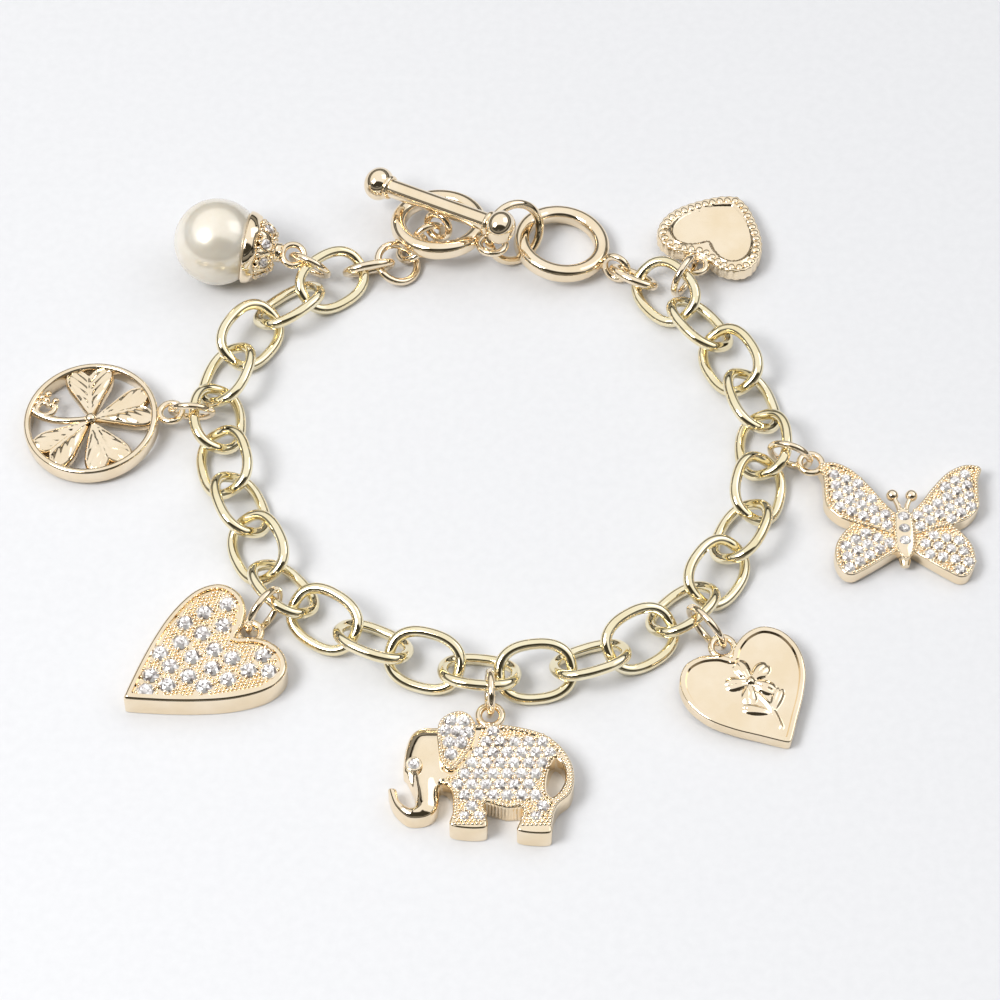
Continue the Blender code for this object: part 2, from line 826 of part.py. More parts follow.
def butterfly_charm():
    """Butterfly with stones on four wings and the body, two feelers and an eye on one wing tip."""
    half_span = BUTTERFLY_SPAN / 2
    right = [Vector((x * half_span, y * BUTTERFLY_HEIGHT)) for x, y in BUTTERFLY_WING]
    left = [Vector((-point.x, point.y)) for point in reversed(right)]
    outline = right + left
    wings = plate("butterfly_charm", outline, 0.0, BUTTERFLY_THICKNESS)
    body_half = BUTTERFLY_SPAN * 0.052
    body_top = 0.16 * BUTTERFLY_HEIGHT
    body_bottom = -0.29 * BUTTERFLY_HEIGHT
    body_outline = [
        Vector((-body_half * 0.5, body_top)),
        Vector((-body_half, body_top * 0.4)),
        Vector((-body_half, body_bottom * 0.55)),
        Vector((-body_half * 0.4, body_bottom)),
        Vector((body_half * 0.4, body_bottom)),
        Vector((body_half, body_bottom * 0.55)),
        Vector((body_half, body_top * 0.4)),
        Vector((body_half * 0.5, body_top)),
    ]
    body_level = BUTTERFLY_THICKNESS * 1.2
    body = plate("butterfly_body", body_outline, BUTTERFLY_THICKNESS * 0.3, body_level)
    margin = SMALL_STONE_DIAMETER * 0.62
    places = stone_rows(outline, STONE_PITCH, margin, body_outline)
    wing_stones = stones("butterfly_stones", places, SMALL_STONE_DIAMETER, BUTTERFLY_THICKNESS)
    body_places = [(0.0, share * BUTTERFLY_HEIGHT) for share in (0.075, -0.03, -0.135)]
    body_stones = stones("butterfly_body_stones", body_places, SMALL_STONE_DIAMETER, body_level)
    details = [body, wing_stones, body_stones]
    feeler_ball = 0.07 * BUTTERFLY_SPAN
    for side in (-1.0, 1.0):
        root = Vector((side * body_half * 0.35, body_top * 0.9))
        tip = Vector((side * 0.058 * BUTTERFLY_SPAN, 0.3 * BUTTERFLY_HEIGHT))
        width = Vector((feeler_ball * 0.22, 0.0))
        stalk_outline = [root - width, root + width, tip + width, tip - width]
        name = "left" if side < 0 else "right"
        height = BUTTERFLY_THICKNESS
        details.append(
            plate(f"butterfly_stalk_{name}", stalk_outline, height * 0.55, height * 0.95)
        )
        knob = ball(f"butterfly_knob_{name}", feeler_ball, feeler_ball, 8, 6)
        details.append(shift(knob, (tip.x, tip.y, height * 0.9)))
    tip = Vector((-0.93 * half_span, 0.57 * BUTTERFLY_HEIGHT))
    eye = tip + Vector((-0.98, 0.2)) * eye_reach()
    height = BUTTERFLY_THICKNESS * 0.6
    details.append(charm_eye("butterfly_eye", eye, height))
    fuse(wings, details)
    return wings, eye, height, outline


def plain_heart_charm():
    """Wide heart with a dished centre and a beaded edge."""
    outline = heart_outline(HEART_WIDE, PLAIN_HEART_WIDTH, PLAIN_HEART_LENGTH, 2)
    beaded = []
    for index, point in enumerate(outline):
        following = outline[(index + 1) % len(outline)]
        beaded.append(point)
        beaded.append((point + following) / 2)
    dents = inset_outline(beaded, RIM_WIDTH * 0.25)
    edge = [dents[i] if i % 2 else beaded[i] for i in range(len(beaded))]
    heart = plate("plain_heart_charm", edge, 0.0, PLAIN_HEART_THICKNESS)
    sunk = inset_outline(outline, RIM_WIDTH * 1.4)
    level = PLAIN_HEART_THICKNESS
    sink = plate("plain_heart_sink", sunk, level - RIM_DEPTH, level + RIM_DEPTH)
    fuse(heart, [sink], "DIFFERENCE")
    notch = HEART_WIDE[-1][1] * PLAIN_HEART_LENGTH
    eye = Vector((0.0, notch + eye_reach()))
    height = PLAIN_HEART_THICKNESS * 0.6
    fuse(heart, [charm_eye("plain_heart_eye", eye, height)])
    return heart, eye, height, outline


def chain_links(left_end, right_end):
    """Centres of the links at equal pitch along the chosen route, stretched to their full length."""
    sample = Loop("", Vector(), Matrix.Identity(3), LINK_LENGTH, LINK_WIDTH, LINK_WIRE)
    pitch = pitch_between(sample, sample)
    chosen = [Vector(point) * MM for point in CHAIN_ROUTE]
    chord = chosen[-1] - chosen[0]
    normal = Vector((chord.y, -chord.x)).normalized()
    shares = [(point - chosen[0]).dot(chord) / chord.length_squared for point in chosen]
    depths = [(point - chosen[0]).dot(normal) for point in chosen]
    new_chord = right_end - left_end
    new_normal = Vector((new_chord.y, -new_chord.x)).normalized()

    def walk(stretch):
        """Link centres a pitch apart, and how far the last one falls short of the right end."""
        route = [
            left_end + new_chord * share + new_normal * depth * stretch
            for share, depth in zip(shares, depths)
        ]
        curve = smooth_points(route, 24, False)
        centres = [curve[0]]
        for start, end in zip(curve, curve[1:]):
            while len(centres) < LINK_COUNT and (end - centres[-1]).length >= pitch:
                low, high = 0.0, 1.0
                for _ in range(30):
                    middle = (low + high) / 2
                    if (start.lerp(end, middle) - centres[-1]).length < pitch:
                        low = middle
                    else:
                        high = middle
                centres.append(start.lerp(end, high))
        missing = LINK_COUNT - len(centres)
        short = (curve[-1] - centres[-1]).length
        return centres, short - missing * pitch

    low, high = 0.2, 3.0
    for _ in range(40):
        stretch = (low + high) / 2
        centres, spare = walk(stretch)
        if spare > 0:
            high = stretch
        else:
            low = stretch
    centres = walk(high)[0]
    centres[-1] = right_end
    return centres


def link_roll(number):
    """Links lean in turn to the outside and to the inside of the loop."""
    if number % 2 == 0:
        return INNER_LINK_ROLL
    return CHARM_LINK_ROLL if number % CHARM_EVERY == 1 else FREE_LINK_ROLL


def chain(left_end, right_end, finish, collection):
    """The cable chain, link by link."""
    centres = chain_links(left_end, right_end)
    loops = []
    for index, centre in enumerate(centres):
        number = index + 1
        before = centres[max(index - 1, 0)]
        after = centres[min(index + 1, LINK_COUNT - 1)]
        along = Vector((*(after - before), 0.0)).normalized()
        outward = along.cross(UP)
        roll = math.radians(link_roll(number))
        rotation = basis(along, outward * math.cos(roll) + UP * math.sin(roll))
        loop = Loop(
            f"chain_link_{number:02d}", Vector(), rotation, LINK_LENGTH, LINK_WIDTH, LINK_WIRE
        )
        loop.centre = Vector((centre.x, centre.y, loop.drop()))
        wire_object(loop, LINK_CORNERS, finish, collection, LINK_FULLNESS)
        loops.append(loop)
    return loops


def toggle_ring(name, frame, finish, collection, eyes):
    """A clasp ring of squarish section with its soldered eyes."""
    outer = TOGGLE_RING_OUTER / 2
    inner = outer - TOGGLE_RING_WIDTH
    half = TOGGLE_RING_HEIGHT / 2
    bevel = TOGGLE_RING_BEVEL
    profile = [
        (inner, -half + bevel),
        (inner, half - bevel),
        (inner + bevel, half),
        (outer - bevel, half),
        (outer, half - bevel),
        (outer, -half + bevel),
        (outer - bevel, -half),
        (inner + bevel, -half),
    ]
    ring = turned(name, profile, TOGGLE_STEPS)
    fuse(ring, eyes)
    return place(ring, collection, finish, frame)


def clasp(gold, collection):
    """The toggle clasp; returns where the chain's left and right ends go."""
    ring_reach = TOGGLE_RING_OUTER / 2 + EYE_OUTER / 2 - EYE_SEAT
    half_height = TOGGLE_RING_HEIGHT / 2
    lean = math.radians(CLASP_TILT)
    centre_height = TOGGLE_RING_OUTER / 2 * math.sin(lean) + half_height + CLASP_LIFT
    inner_frame = (
        Matrix.Translation(CLASP_PLACE + UP * centre_height) @ Matrix.Rotation(-lean, 4, "X")
    )

    joining = Loop(
        "joining_ring",
        Vector(),
        Matrix.Identity(3),
        JOINING_RING_OUTER,
        JOINING_RING_OUTER,
        JOINING_RING_WIRE,
    )
    tilt = math.radians(JOINING_TILT)
    turn = math.radians(JOINING_TURN)
    rise = Vector((0.0, math.cos(tilt), math.sin(tilt)))
    facing = Vector((0.0, -math.sin(tilt), math.cos(tilt)))
    side = Vector((1.0, 0.0, 0.0)) * math.cos(turn) + facing * math.sin(turn)
    joining.rotation = basis(side, rise)
    joining.centre = CLASP_PLACE + JOINING_PLACE + UP * (joining.drop() + RING_GAP / 4)
    wire_object(joining, 16, gold, collection)

    eye = torus("toggle_ring_inner_eye", EYE_OUTER, EYE_WIRE, 12)
    shift(eye, floor_direction(INNER_EYE_HEADING) * ring_reach)
    toggle_ring("toggle_ring_inner", inner_frame, gold, collection, [eye])

    outer_frame = (
        Matrix.Translation(CLASP_PLACE + OUTER_RING_PLACE)
        @ Matrix.Rotation(math.radians(OUTER_RING_TILT), 4, "Y")
        @ Matrix.Rotation(math.radians(OUTER_RING_LEAN), 4, "X")
    )
    bail = torus("toggle_ring_outer_eye", EYE_OUTER, EYE_WIRE, 12)
    bail_turn = Matrix.Rotation(math.radians(BAIL_HEADING), 4, "Z")
    bail_place = bail_turn @ Vector((ring_reach, 0.0, BAIL_RAISE))
    shift(bail, bail_place, bail_turn @ Matrix.Rotation(math.radians(BAIL_ROLL), 4, "X"))
    toggle_ring("toggle_ring_outer", outer_frame, gold, collection, [bail])

    bail_loop = Loop("", outer_frame @ bail_place, Matrix.Identity(3), EYE_OUTER, EYE_OUTER, EYE_WIRE)
    end_link = lay_next(RIGHT_END_LINK, bail_loop, gold, collection)
    sample = Loop("", Vector(), Matrix.Identity(3), LINK_LENGTH, LINK_WIDTH, LINK_WIRE)
    reach = pitch_between(end_link, sample) + RIGHT_END_EASE
    right_end = (end_link.centre + floor_direction(RIGHT_END_HEADING) * reach).xy

    bar_frame, bar_eye = toggle_bar(inner_frame, gold, collection)
    ring = bar_eye
    for row in LEFT_SMALL_RINGS:
        ring = lay_next(row, ring, gold, collection)
    reach = pitch_between(ring, sample) + LEFT_END_EASE
    left_end = (ring.centre + floor_direction(LEFT_END_HEADING) * reach).xy
    return left_end, right_end


def lay_next(row, held, finish, collection):
    """The next small ring, lying on the floor and interlocked with the one that holds it."""
    name, step_heading, ease, heading, roll, length, width, wire = row
    loop = Loop(name, Vector(), rolled_basis(heading, roll), length, width, wire)
    height = loop.drop() + FLOOR_GAP
    reach = pitch_between(held, loop) + ease * MM
    level = math.sqrt(reach ** 2 - (height - held.centre.z) ** 2)
    centre = held.centre + floor_direction(step_heading) * level
    loop.centre = Vector((centre.x, centre.y, height))
    wire_object(loop, RING_CORNERS, finish, collection)
    return loop


def toggle_bar(ring_frame, gold, collection):
    """The bar across the inner ring, with a ball at each end and an eye below its middle."""
    frame = (
        Matrix.Translation(ring_frame.translation + BAR_PLACE)
        @ Matrix.Rotation(math.radians(BAR_HEADING), 4, "Z")
        @ Matrix.Rotation(-math.radians(BAR_RISE), 4, "Y")
    )
    bpy.ops.mesh.primitive_cylinder_add(
        vertices=12,
        radius=BAR_DIAMETER / 2,
        depth=BAR_LENGTH - BAR_END_LENGTH,
        rotation=(0.0, math.pi / 2, 0.0),
    )
    bar = bpy.context.active_object
    bar.name = "toggle_bar"
    bpy.ops.object.transform_apply(location=False, rotation=True, scale=False)
    end_place = (BAR_LENGTH - BAR_END_LENGTH) / 2
    details = []
    for side in (-1.0, 1.0):
        name = "bar_end_left" if side < 0 else "bar_end_right"
        end = ball(name, BAR_END_DIAMETER, BAR_END_LENGTH)
        details.append(shift(end, (side * end_place, 0.0, 0.0)))
    eye = torus("bar_eye", EYE_OUTER, EYE_WIRE, 12)
    reach = BAR_DIAMETER / 2 + EYE_OUTER / 2 - EYE_SEAT
    eye_pose = Matrix.Rotation(math.radians(BAR_EYE_TURN), 4, "X")
    eye_pose @= Matrix.Translation((0.0, -reach, 0.0))
    eye.matrix_world = eye_pose
    details.append(eye)
    fuse(bar, details)
    place(bar, collection, gold, frame)
    shade(bar)
    eye_centre = (frame @ eye_pose).translation
    return frame, Loop("", eye_centre, Matrix.Identity(3), EYE_OUTER, EYE_OUTER, EYE_WIRE)


def jump_ring(charm, link, along, heading, spin, drop):
    """A ring from the raised wire of a link towards a charm, and the hold for the charm's eye."""
    outer = WIDE_RING_OUTER if charm in WIDE_RING_CHARMS else JUMP_RING_OUTER
    share = (1.0 - abs(along / link.half_length) ** LINK_FULLNESS) ** (1.0 / LINK_FULLNESS)
    wire_point = link.centre + link.rotation.col[0] * along
    wire_point += link.rotation.col[1] * link.half_width * share
    ring = Loop(charm + "_ring", Vector(), Matrix.Identity(3), outer, outer, JUMP_RING_WIRE)
    near = ring.half_length - (link.wire + ring.wire) / 2 - RING_GAP
    far = ring.half_length - (CHARM_EYE_WIRE + ring.wire) / 2 - RING_GAP
    level = floor_direction(heading)
    angle = math.radians(spin)
    across = UP * math.cos(angle) + UP.cross(level) * math.sin(angle)
    ring.rotation = basis(level, across)
    rest = ring.drop() + FLOOR_GAP
    up = min((wire_point.z - rest) / across.z, near * RING_LEAN)
    ring.centre = wire_point + level * math.sqrt(near ** 2 - up ** 2) - across * up
    down = min(max((ring.centre.z - drop) / across.z, -far * RING_LEAN), far * RING_LEAN)
    return ring, ring.centre + level * math.sqrt(far ** 2 - down ** 2) - across * down


def flat_pose(name, link, pose, eye, height, outline):
    """The place of a flat charm that lies by its link, and its jump ring."""
    _, along, heading, turn, spin, tilt = pose
    eye_radius = (CHARM_EYE_OUTER - CHARM_EYE_WIRE) / 2
    spun = Matrix.Rotation(math.radians(turn - 90.0), 4, "Z")
    back = spun.inverted() @ floor_direction(heading)
    middle = sum((Vector(point) for point in outline), Vector((0.0, 0.0))) / len(outline)
    rise_way = (Vector(eye[:2]) - middle).normalized()
    axis = Vector((rise_way.y, -rise_way.x, 0.0))
    leaned = Matrix.Rotation(math.radians(tilt), 4, axis)
    lowest = min((leaned @ Vector((*point, 0.0))).z for point in outline)
    posed = spun @ Matrix.Translation((0.0, 0.0, -lowest)) @ leaned
    hold_local = Vector((eye[0], eye[1], height)) - Vector((back.x, back.y, 0.0)) * eye_radius
    hold = posed @ hold_local
    ring, target = jump_ring(name, link, along * MM, heading, spin, hold.z)
    move = Vector((target.x - hold.x, target.y - hold.y, 0.0))
    return Matrix.Translation(move) @ posed, ring


def flat_charm(name, link, pose, gold, collection):
    """A flat charm lying by its link, held by its jump ring."""
    piece, eye, height, outline = CHARM_MAKERS[name]()
    charm_place, ring = flat_pose(name, link, pose, eye, height, outline)
    wire_object(ring, RING_CORNERS, gold, collection)
    place(piece, collection, gold, charm_place)
    shade(piece)


def pearl_charm(link, pearl, gold, collection):
    """A pearl with a domed cap, held by its eye and jump ring, resting on the pearl."""
    _, along, heading, turn, spin = PEARL_POSE
    radius = PEARL_DIAMETER / 2
    seat = radius + TOUCH_GAP
    rim = CAP_RIM_DIAMETER / 2
    rim_height = math.sqrt(seat ** 2 - (rim - CAP_LIP) ** 2)
    profile = []
    for step in range(5):
        angle = math.atan2(rim - CAP_LIP, rim_height) * step / 4
        profile.append((seat * math.sin(angle), seat * math.cos(angle)))
    slope = CAP_REACH - rim_height
    profile += [
        (rim, rim_height),
        (rim, rim_height + CAP_LIP),
        (rim * 0.82, rim_height + slope * 0.3),
        (rim * 0.55, rim_height + slope * 0.56),
        (CAP_TOP_DIAMETER / 2 * 1.25, rim_height + slope * 0.8),
        (CAP_TOP_DIAMETER / 2, CAP_REACH),
        (0.0, CAP_REACH),
    ]
    cap = turned("pearl_cap", profile, 16, False)
    eye_height = CAP_REACH + eye_reach()
    eye = torus("pearl_cap_eye", CHARM_EYE_OUTER, CHARM_EYE_WIRE)
    eye_turn = Matrix.Rotation(math.radians(PEARL_EYE_TURN), 4, "Z")
    eye_turn @= Matrix.Rotation(math.pi / 2, 4, "X")
    shift(eye, (0.0, 0.0, eye_height), eye_turn)
    fuse(cap, [eye])

    droop = math.radians(PEARL_DROOP)
    away = floor_direction(turn)
    axis = -away * math.cos(droop) - UP * math.sin(droop)
    side = axis.cross(UP).normalized()
    rotation = Matrix((side, axis.cross(side), axis)).transposed().to_4x4()
    eye_centre = rotation @ Vector((0.0, 0.0, eye_height)) + UP * radius
    eye_plane = (rotation @ eye_turn).to_3x3()
    back = eye_plane.inverted() @ -floor_direction(heading)
    back = eye_plane @ Vector((back.x, back.y, 0.0)).normalized()
    hold = eye_centre + back * (CHARM_EYE_OUTER - CHARM_EYE_WIRE) / 2
    ring, target = jump_ring("pearl", link, along * MM, heading, spin, hold.z)
    wire_object(ring, RING_CORNERS, gold, collection)
    frame = Matrix.Translation((target.x - hold.x, target.y - hold.y, radius)) @ rotation
    place(cap, collection, gold, frame)
    bpy.ops.mesh.primitive_uv_sphere_add(segments=16, ring_count=10, radius=radius)
    bead = bpy.context.active_object
    bead.name = "pearl_bead"
    place(bead, collection, pearl, frame)
    shade(bead)


CHARM_MAKERS = {
    "clover": clover_charm,
    "pave_heart": pave_heart_charm,
    "elephant": elephant_charm,
    "medal_heart": medal_heart_charm,
    "butterfly": butterfly_charm,
    "plain_heart": plain_heart_charm,
}

for old in list(bpy.data.objects):
    bpy.data.objects.remove(old)

bracelet = new_collection("charm_bracelet")
details_collection = new_collection("fused_details")

chain_gold = material("chain_gold", (0.83, 0.74, 0.50), 1.0, 0.16)
warm_gold = material("warm_gold", (0.93, 0.74, 0.52), 1.0, 0.16)
pearl_finish = material("pearl", (0.90, 0.86, 0.76), 0.0, 0.25)

left_end, right_end = clasp(warm_gold, bracelet)
links = chain(left_end, right_end, chain_gold, bracelet)
for charm, pose in CHARM_POSES.items():
    flat_charm(charm, links[pose[0] - 1], pose, warm_gold, bracelet)
pearl_charm(links[PEARL_POSE[0] - 1], pearl_finish, warm_gold, bracelet)
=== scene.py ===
import math

import bmesh
import bpy
import numpy as np
from mathutils import Matrix, Vector
from mathutils.geometry import delaunay_2d_cdt

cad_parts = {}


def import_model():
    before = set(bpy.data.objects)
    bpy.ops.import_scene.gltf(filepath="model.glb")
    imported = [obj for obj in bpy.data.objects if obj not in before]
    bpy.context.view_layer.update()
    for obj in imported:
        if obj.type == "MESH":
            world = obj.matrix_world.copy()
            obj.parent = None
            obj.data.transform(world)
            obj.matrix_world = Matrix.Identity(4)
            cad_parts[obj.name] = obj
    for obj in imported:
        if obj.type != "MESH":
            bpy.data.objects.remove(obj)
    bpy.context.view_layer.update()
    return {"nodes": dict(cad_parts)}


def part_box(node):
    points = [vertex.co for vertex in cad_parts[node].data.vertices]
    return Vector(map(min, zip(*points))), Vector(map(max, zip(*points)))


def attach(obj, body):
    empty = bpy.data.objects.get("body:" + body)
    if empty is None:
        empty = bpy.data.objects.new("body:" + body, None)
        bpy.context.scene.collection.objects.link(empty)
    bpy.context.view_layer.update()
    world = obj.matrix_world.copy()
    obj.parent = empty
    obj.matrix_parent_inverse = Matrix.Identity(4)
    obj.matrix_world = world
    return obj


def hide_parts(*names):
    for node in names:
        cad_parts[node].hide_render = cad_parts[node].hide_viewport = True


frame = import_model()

MM = 0.001
BUMP_DEPTH = 0.02 * MM
WELD = 0.0005 * MM
CHAMFER = 0.14
ROW_STEP = 0.866
UP = Vector((0.0, 0.0, 1.0))

# Camera: over the front edge, looking down on the middle of the loop
CAMERA_PLACE = Vector((-0.1, -255.1, 378.9)) * MM
CAMERA_AIM = Vector((-0.1, 0.5, 0.0)) * MM
LENS = 142.2

# Sizes that the CAD nodes follow, in millimetres
LINK_FULLNESS = 2.4
LINK_SWELL = 1.05
RING_SWELL = 1.07
TOGGLE_OUTER = 11.6
TOGGLE_WIDTH = 1.85
TOGGLE_HEIGHT = 2.1
TOGGLE_ROUND = 0.8
CLASP_PLACE = Vector((-7.45, 38.5, 0.0))
CLASP_LIFT = 0.8
CLASP_TILT = 12.0
OUTER_RING_PLACE = Vector((14.76, -2.05, 1.88))
OUTER_RING_TILT = 6.9
OUTER_RING_LEAN = -5.7
EYE_OUTER = 4.0
EYE_WIRE = 0.9
EYE_SEAT = 0.3
INNER_EYE_HEADING = -30.8
BAIL_HEADING = -31.0
BAIL_ROLL = 84.0
BAIL_RAISE = 0.6
BAR_PLACE = Vector((0.08, 0.3, 3.3))
BAR_HEADING = -31.4
BAR_RISE = 9.8
BAR_EYE_TURN = 68.0
BAR_LENGTH = 20.5
BAR_DIAMETER = 2.25
BAR_END_DIAMETER = 3.9
BAR_END_LENGTH = 3.1
BALL_SWELL = 1.04
BALL_STRETCH = 1.08
COLLAR_WIRE = 0.62
COLLAR_RAISE = 0.06
CHARM_EYE_OUTER = 3.4
CHARM_EYE_WIRE = 0.8
PEARL_DIAMETER = 10.4
PEARL_DROOP = 6.0
PEARL_TURN = 172.0
CAP_REACH = 7.7

# Where charms lie, and the look: creases, shares of facets with painted glint, painted half-shade and painted
# dark reflection, floor, room, lights
TIP_AT_ORIGIN = [("mid", 0.0), ("min", 0.0), ("min", 0.0)]
CREASE = 40.0
# shares of facets given painted glint, painted half-shade and painted dark reflection
PAINTED_FACET_LIGHT_ODDS = [0.56, 0.28, 0.16]
FLOOR_SIZE = 3.0
FLOOR_TONES = [(0.3, (0.735, 0.745, 0.775)), (0.7, (0.76, 0.77, 0.80))]
ROOM_STRIP = (0.03, 0.027, 0.02)
ROOM_NARROW = (0.02, 0.018, 0.012)
ROOM_FRONT = (0.05, 0.046, 0.036)
WHITE = (1.0, 1.0, 1.0)
ROOM_RISE = [
    (0.0, (0.30, 0.28, 0.25)), (0.03, ROOM_STRIP), (0.12, ROOM_STRIP), (0.16, (0.22, 0.21, 0.19)),
    (0.335, (0.30, 0.29, 0.27)), (0.36, ROOM_NARROW), (0.425, ROOM_NARROW), (0.46, (0.88, 0.87, 0.85)),
    (0.65, (1.0, 0.995, 0.98)), (1.0, WHITE),
]
ROOM_DEPTH = [(0.08, WHITE), (0.14, ROOM_FRONT), (0.54, ROOM_FRONT), (0.60, WHITE)]
ROOM_MASK = [(0.41, (0.0, 0.0, 0.0)), (0.46, WHITE)]
LIGHTS = [
    ("key", (-0.40, -0.20, 0.60), 0.30, 3.6, (1.0, 0.99, 0.97)),
    ("fill", (0.50, 0.20, 0.50), 0.4, 0.4, (0.97, 0.98, 1.0)),
]


# Materials


def new_material(name):
    """A material with its node tree and its shader."""
    finish = bpy.data.materials.new(name)
    finish.use_nodes = True
    return finish, finish.node_tree, finish.node_tree.nodes["Principled BSDF"]


def set_inputs(shader, **values):
    """Values of shader inputs, with an underscore for each space in a name."""
    for name, value in values.items():
        shader.inputs[name.replace("_", " ")].default_value = value


def noise_node(tree, scale, detail, stretch=(1.0, 1.0, 1.0)):
    """Noise in object space."""
    place = tree.nodes.new("ShaderNodeTexCoord")
    mapping = tree.nodes.new("ShaderNodeMapping")
    mapping.inputs["Scale"].default_value = stretch
    noise = tree.nodes.new("ShaderNodeTexNoise")
    noise.inputs["Scale"].default_value = scale
    noise.inputs["Detail"].default_value = detail
    tree.links.new(place.outputs["Object"], mapping.inputs["Vector"])
    tree.links.new(mapping.outputs["Vector"], noise.inputs["Vector"])
    return noise


def ramp_node(tree, source, stops):
    """Colours or greys over a factor."""
    ramp = tree.nodes.new("ShaderNodeValToRGB")
    elements = ramp.color_ramp.elements
    while len(elements) < len(stops):
        elements.new(0.5)
    for element, (place, colour) in zip(elements, stops):
        element.position = place
        element.color = (*colour, 1.0)
    tree.links.new(source, ramp.inputs["Fac"])
    return ramp


def clouded(tree, shader, socket, stops, scale, detail, stretch=(1.0, 1.0, 1.0)):
    """A shader input led by noise through a ramp."""
    noise = noise_node(tree, scale, detail, stretch)
    ramp = ramp_node(tree, noise.outputs["Fac"], stops)
    tree.links.new(ramp.outputs["Color"], shader.inputs[socket])


def fine_bump(tree, shader, scale, strength):
    """Tiny waves in the surface."""
    marks = noise_node(tree, scale, 2.0)
    bump = tree.nodes.new("ShaderNodeBump")
    bump.inputs["Strength"].default_value = strength
    bump.inputs["Distance"].default_value = BUMP_DEPTH
    tree.links.new(marks.outputs["Fac"], bump.inputs["Height"])
    tree.links.new(bump.outputs["Normal"], shader.inputs["Normal"])


def gold(name, light, deep, roughness):
    """Polished gold plating: a faint drift of colour, fine polishing marks and slight waviness."""
    finish, tree, shader = new_material(name)
    shader.inputs["Metallic"].default_value = 1.0
    clouded(tree, shader, "Base Color", [(0.35, deep), (0.65, light)], 260.0, 3.0)
    stops = [(0.3, (roughness * 0.7,) * 3), (0.7, (roughness * 1.45,) * 3)]
    clouded(tree, shader, "Roughness", stops, 1400.0, 4.0, (1.0, 1.0, 0.4))
    fine_bump(tree, shader, 3200.0, 0.02)
    return finish


chain_gold = gold("chain_gold", (0.95, 0.865, 0.63), (0.90, 0.79, 0.52), 0.045)
warm_gold = gold("warm_gold", (0.955, 0.825, 0.635), (0.91, 0.76, 0.545), 0.055)


def crystal_material(name, dark, light):
    """Clear cut stone over bright foil: facets that mirror the room; each copy paints their base colour at
    one level, from painted glint to painted dark reflection.
    """
    finish, tree, shader = new_material(name)
    set_inputs(shader, Metallic=0.6, Roughness=0.03, Coat_Weight=0.6, Coat_Roughness=0.02)
    clouded(tree, shader, "Base Color", [(0.35, dark), (0.65, light)], 900.0, 1.0)
    return finish


def pearl_material():
    """Cream nacre: soft body, thin gloss, faint cloudy layers and fine orange-peel."""
    finish, tree, shader = new_material("pearl_nacre")
    stops = [(0.3, (0.80, 0.73, 0.60)), (0.55, (0.85, 0.795, 0.69)), (0.75, (0.88, 0.84, 0.76))]
    clouded(tree, shader, "Base Color", stops, 320.0, 5.0)
    set_inputs(
        shader, Metallic=0.35, Roughness=0.24, Subsurface_Weight=0.1, Subsurface_Scale=1.0,
        Subsurface_Radius=(0.0012, 0.0009, 0.0006), Coat_Weight=0.8, Coat_Roughness=0.1, Coat_IOR=1.6,
    )
    fine_bump(tree, shader, 1800.0, 0.05)
    return finish


# Lit and shaded copies of one crystal: painted glint, painted half-shade and painted dark reflection, dealt
# to facets at random
painted_light_crystals = [
    crystal_material("crystal_painted_glint", (0.96, 0.94, 0.93), (1.0, 1.0, 1.0)),
    crystal_material("crystal_painted_half_shade", (0.70, 0.655, 0.655), (0.86, 0.82, 0.825)),
    crystal_material("crystal_painted_dark_reflection", (0.30, 0.265, 0.25), (0.50, 0.45, 0.44)),
]
nacre = pearl_material()


# Mesh building


def new_object(name, data):
    """A new object, linked into the scene."""
    made = bpy.data.objects.new(name, data)
    bpy.context.scene.collection.objects.link(made)
    return made


def merge(*parts):
    """Several sets of points and faces as one."""
    points, faces, start = [], [], 0
    for some_points, some_faces in parts:
        points.extend(some_points)
        faces.extend(tuple(index + start for index in face) for face in some_faces)
        start += len(some_points)
    return points, faces


def piece(name, node, pose, *parts, finish=warm_gold, slot="warm_gold", smooth=True):
    """Parts as one mesh that rides on the root body in place of a CAD node; all in millimetres."""
    points, faces = merge(*parts)
    mesh = bpy.data.meshes.new(name)
    mesh.from_pydata([tuple(float(c) * MM for c in point) for point in points], [], faces)
    mesh.validate()
    pose = pose.copy()
    pose.translation = pose.translation * MM
    mesh.transform(pose)
    bm = bmesh.new()
    bm.from_mesh(mesh)
    bmesh.ops.remove_doubles(bm, verts=bm.verts, dist=WELD)
    bmesh.ops.recalc_face_normals(bm, faces=bm.faces)
    bm.to_mesh(mesh)
    bm.free()
    mesh.materials.append(finish)
    if smooth:
        mesh.shade_smooth()
        mesh.set_sharp_from_angle(angle=math.radians(CREASE))
    made = new_object(name, mesh)
    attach(made, "root")
    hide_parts(node)
    return made


def polar(radius, angle):
    return radius * math.cos(angle), radius * math.sin(angle)


def shift(x, y, z):
    return Matrix.Translation((x, y, z))


def rotation(degrees, axis):
    return Matrix.Rotation(math.radians(degrees), 4, axis)


def lattice(rows, columns, ring_rows, ring_columns):
    """Faces of a lattice of points, which may close on itself either way."""
    faces = []
    for row in range(rows if ring_rows else rows - 1):
        after = (row + 1) % rows
        for column in range(columns if ring_columns else columns - 1):
            beside = (column + 1) % columns
            faces.append(
                (row * columns + column, row * columns + beside,
                 after * columns + beside, after * columns + column)
            )
    return faces


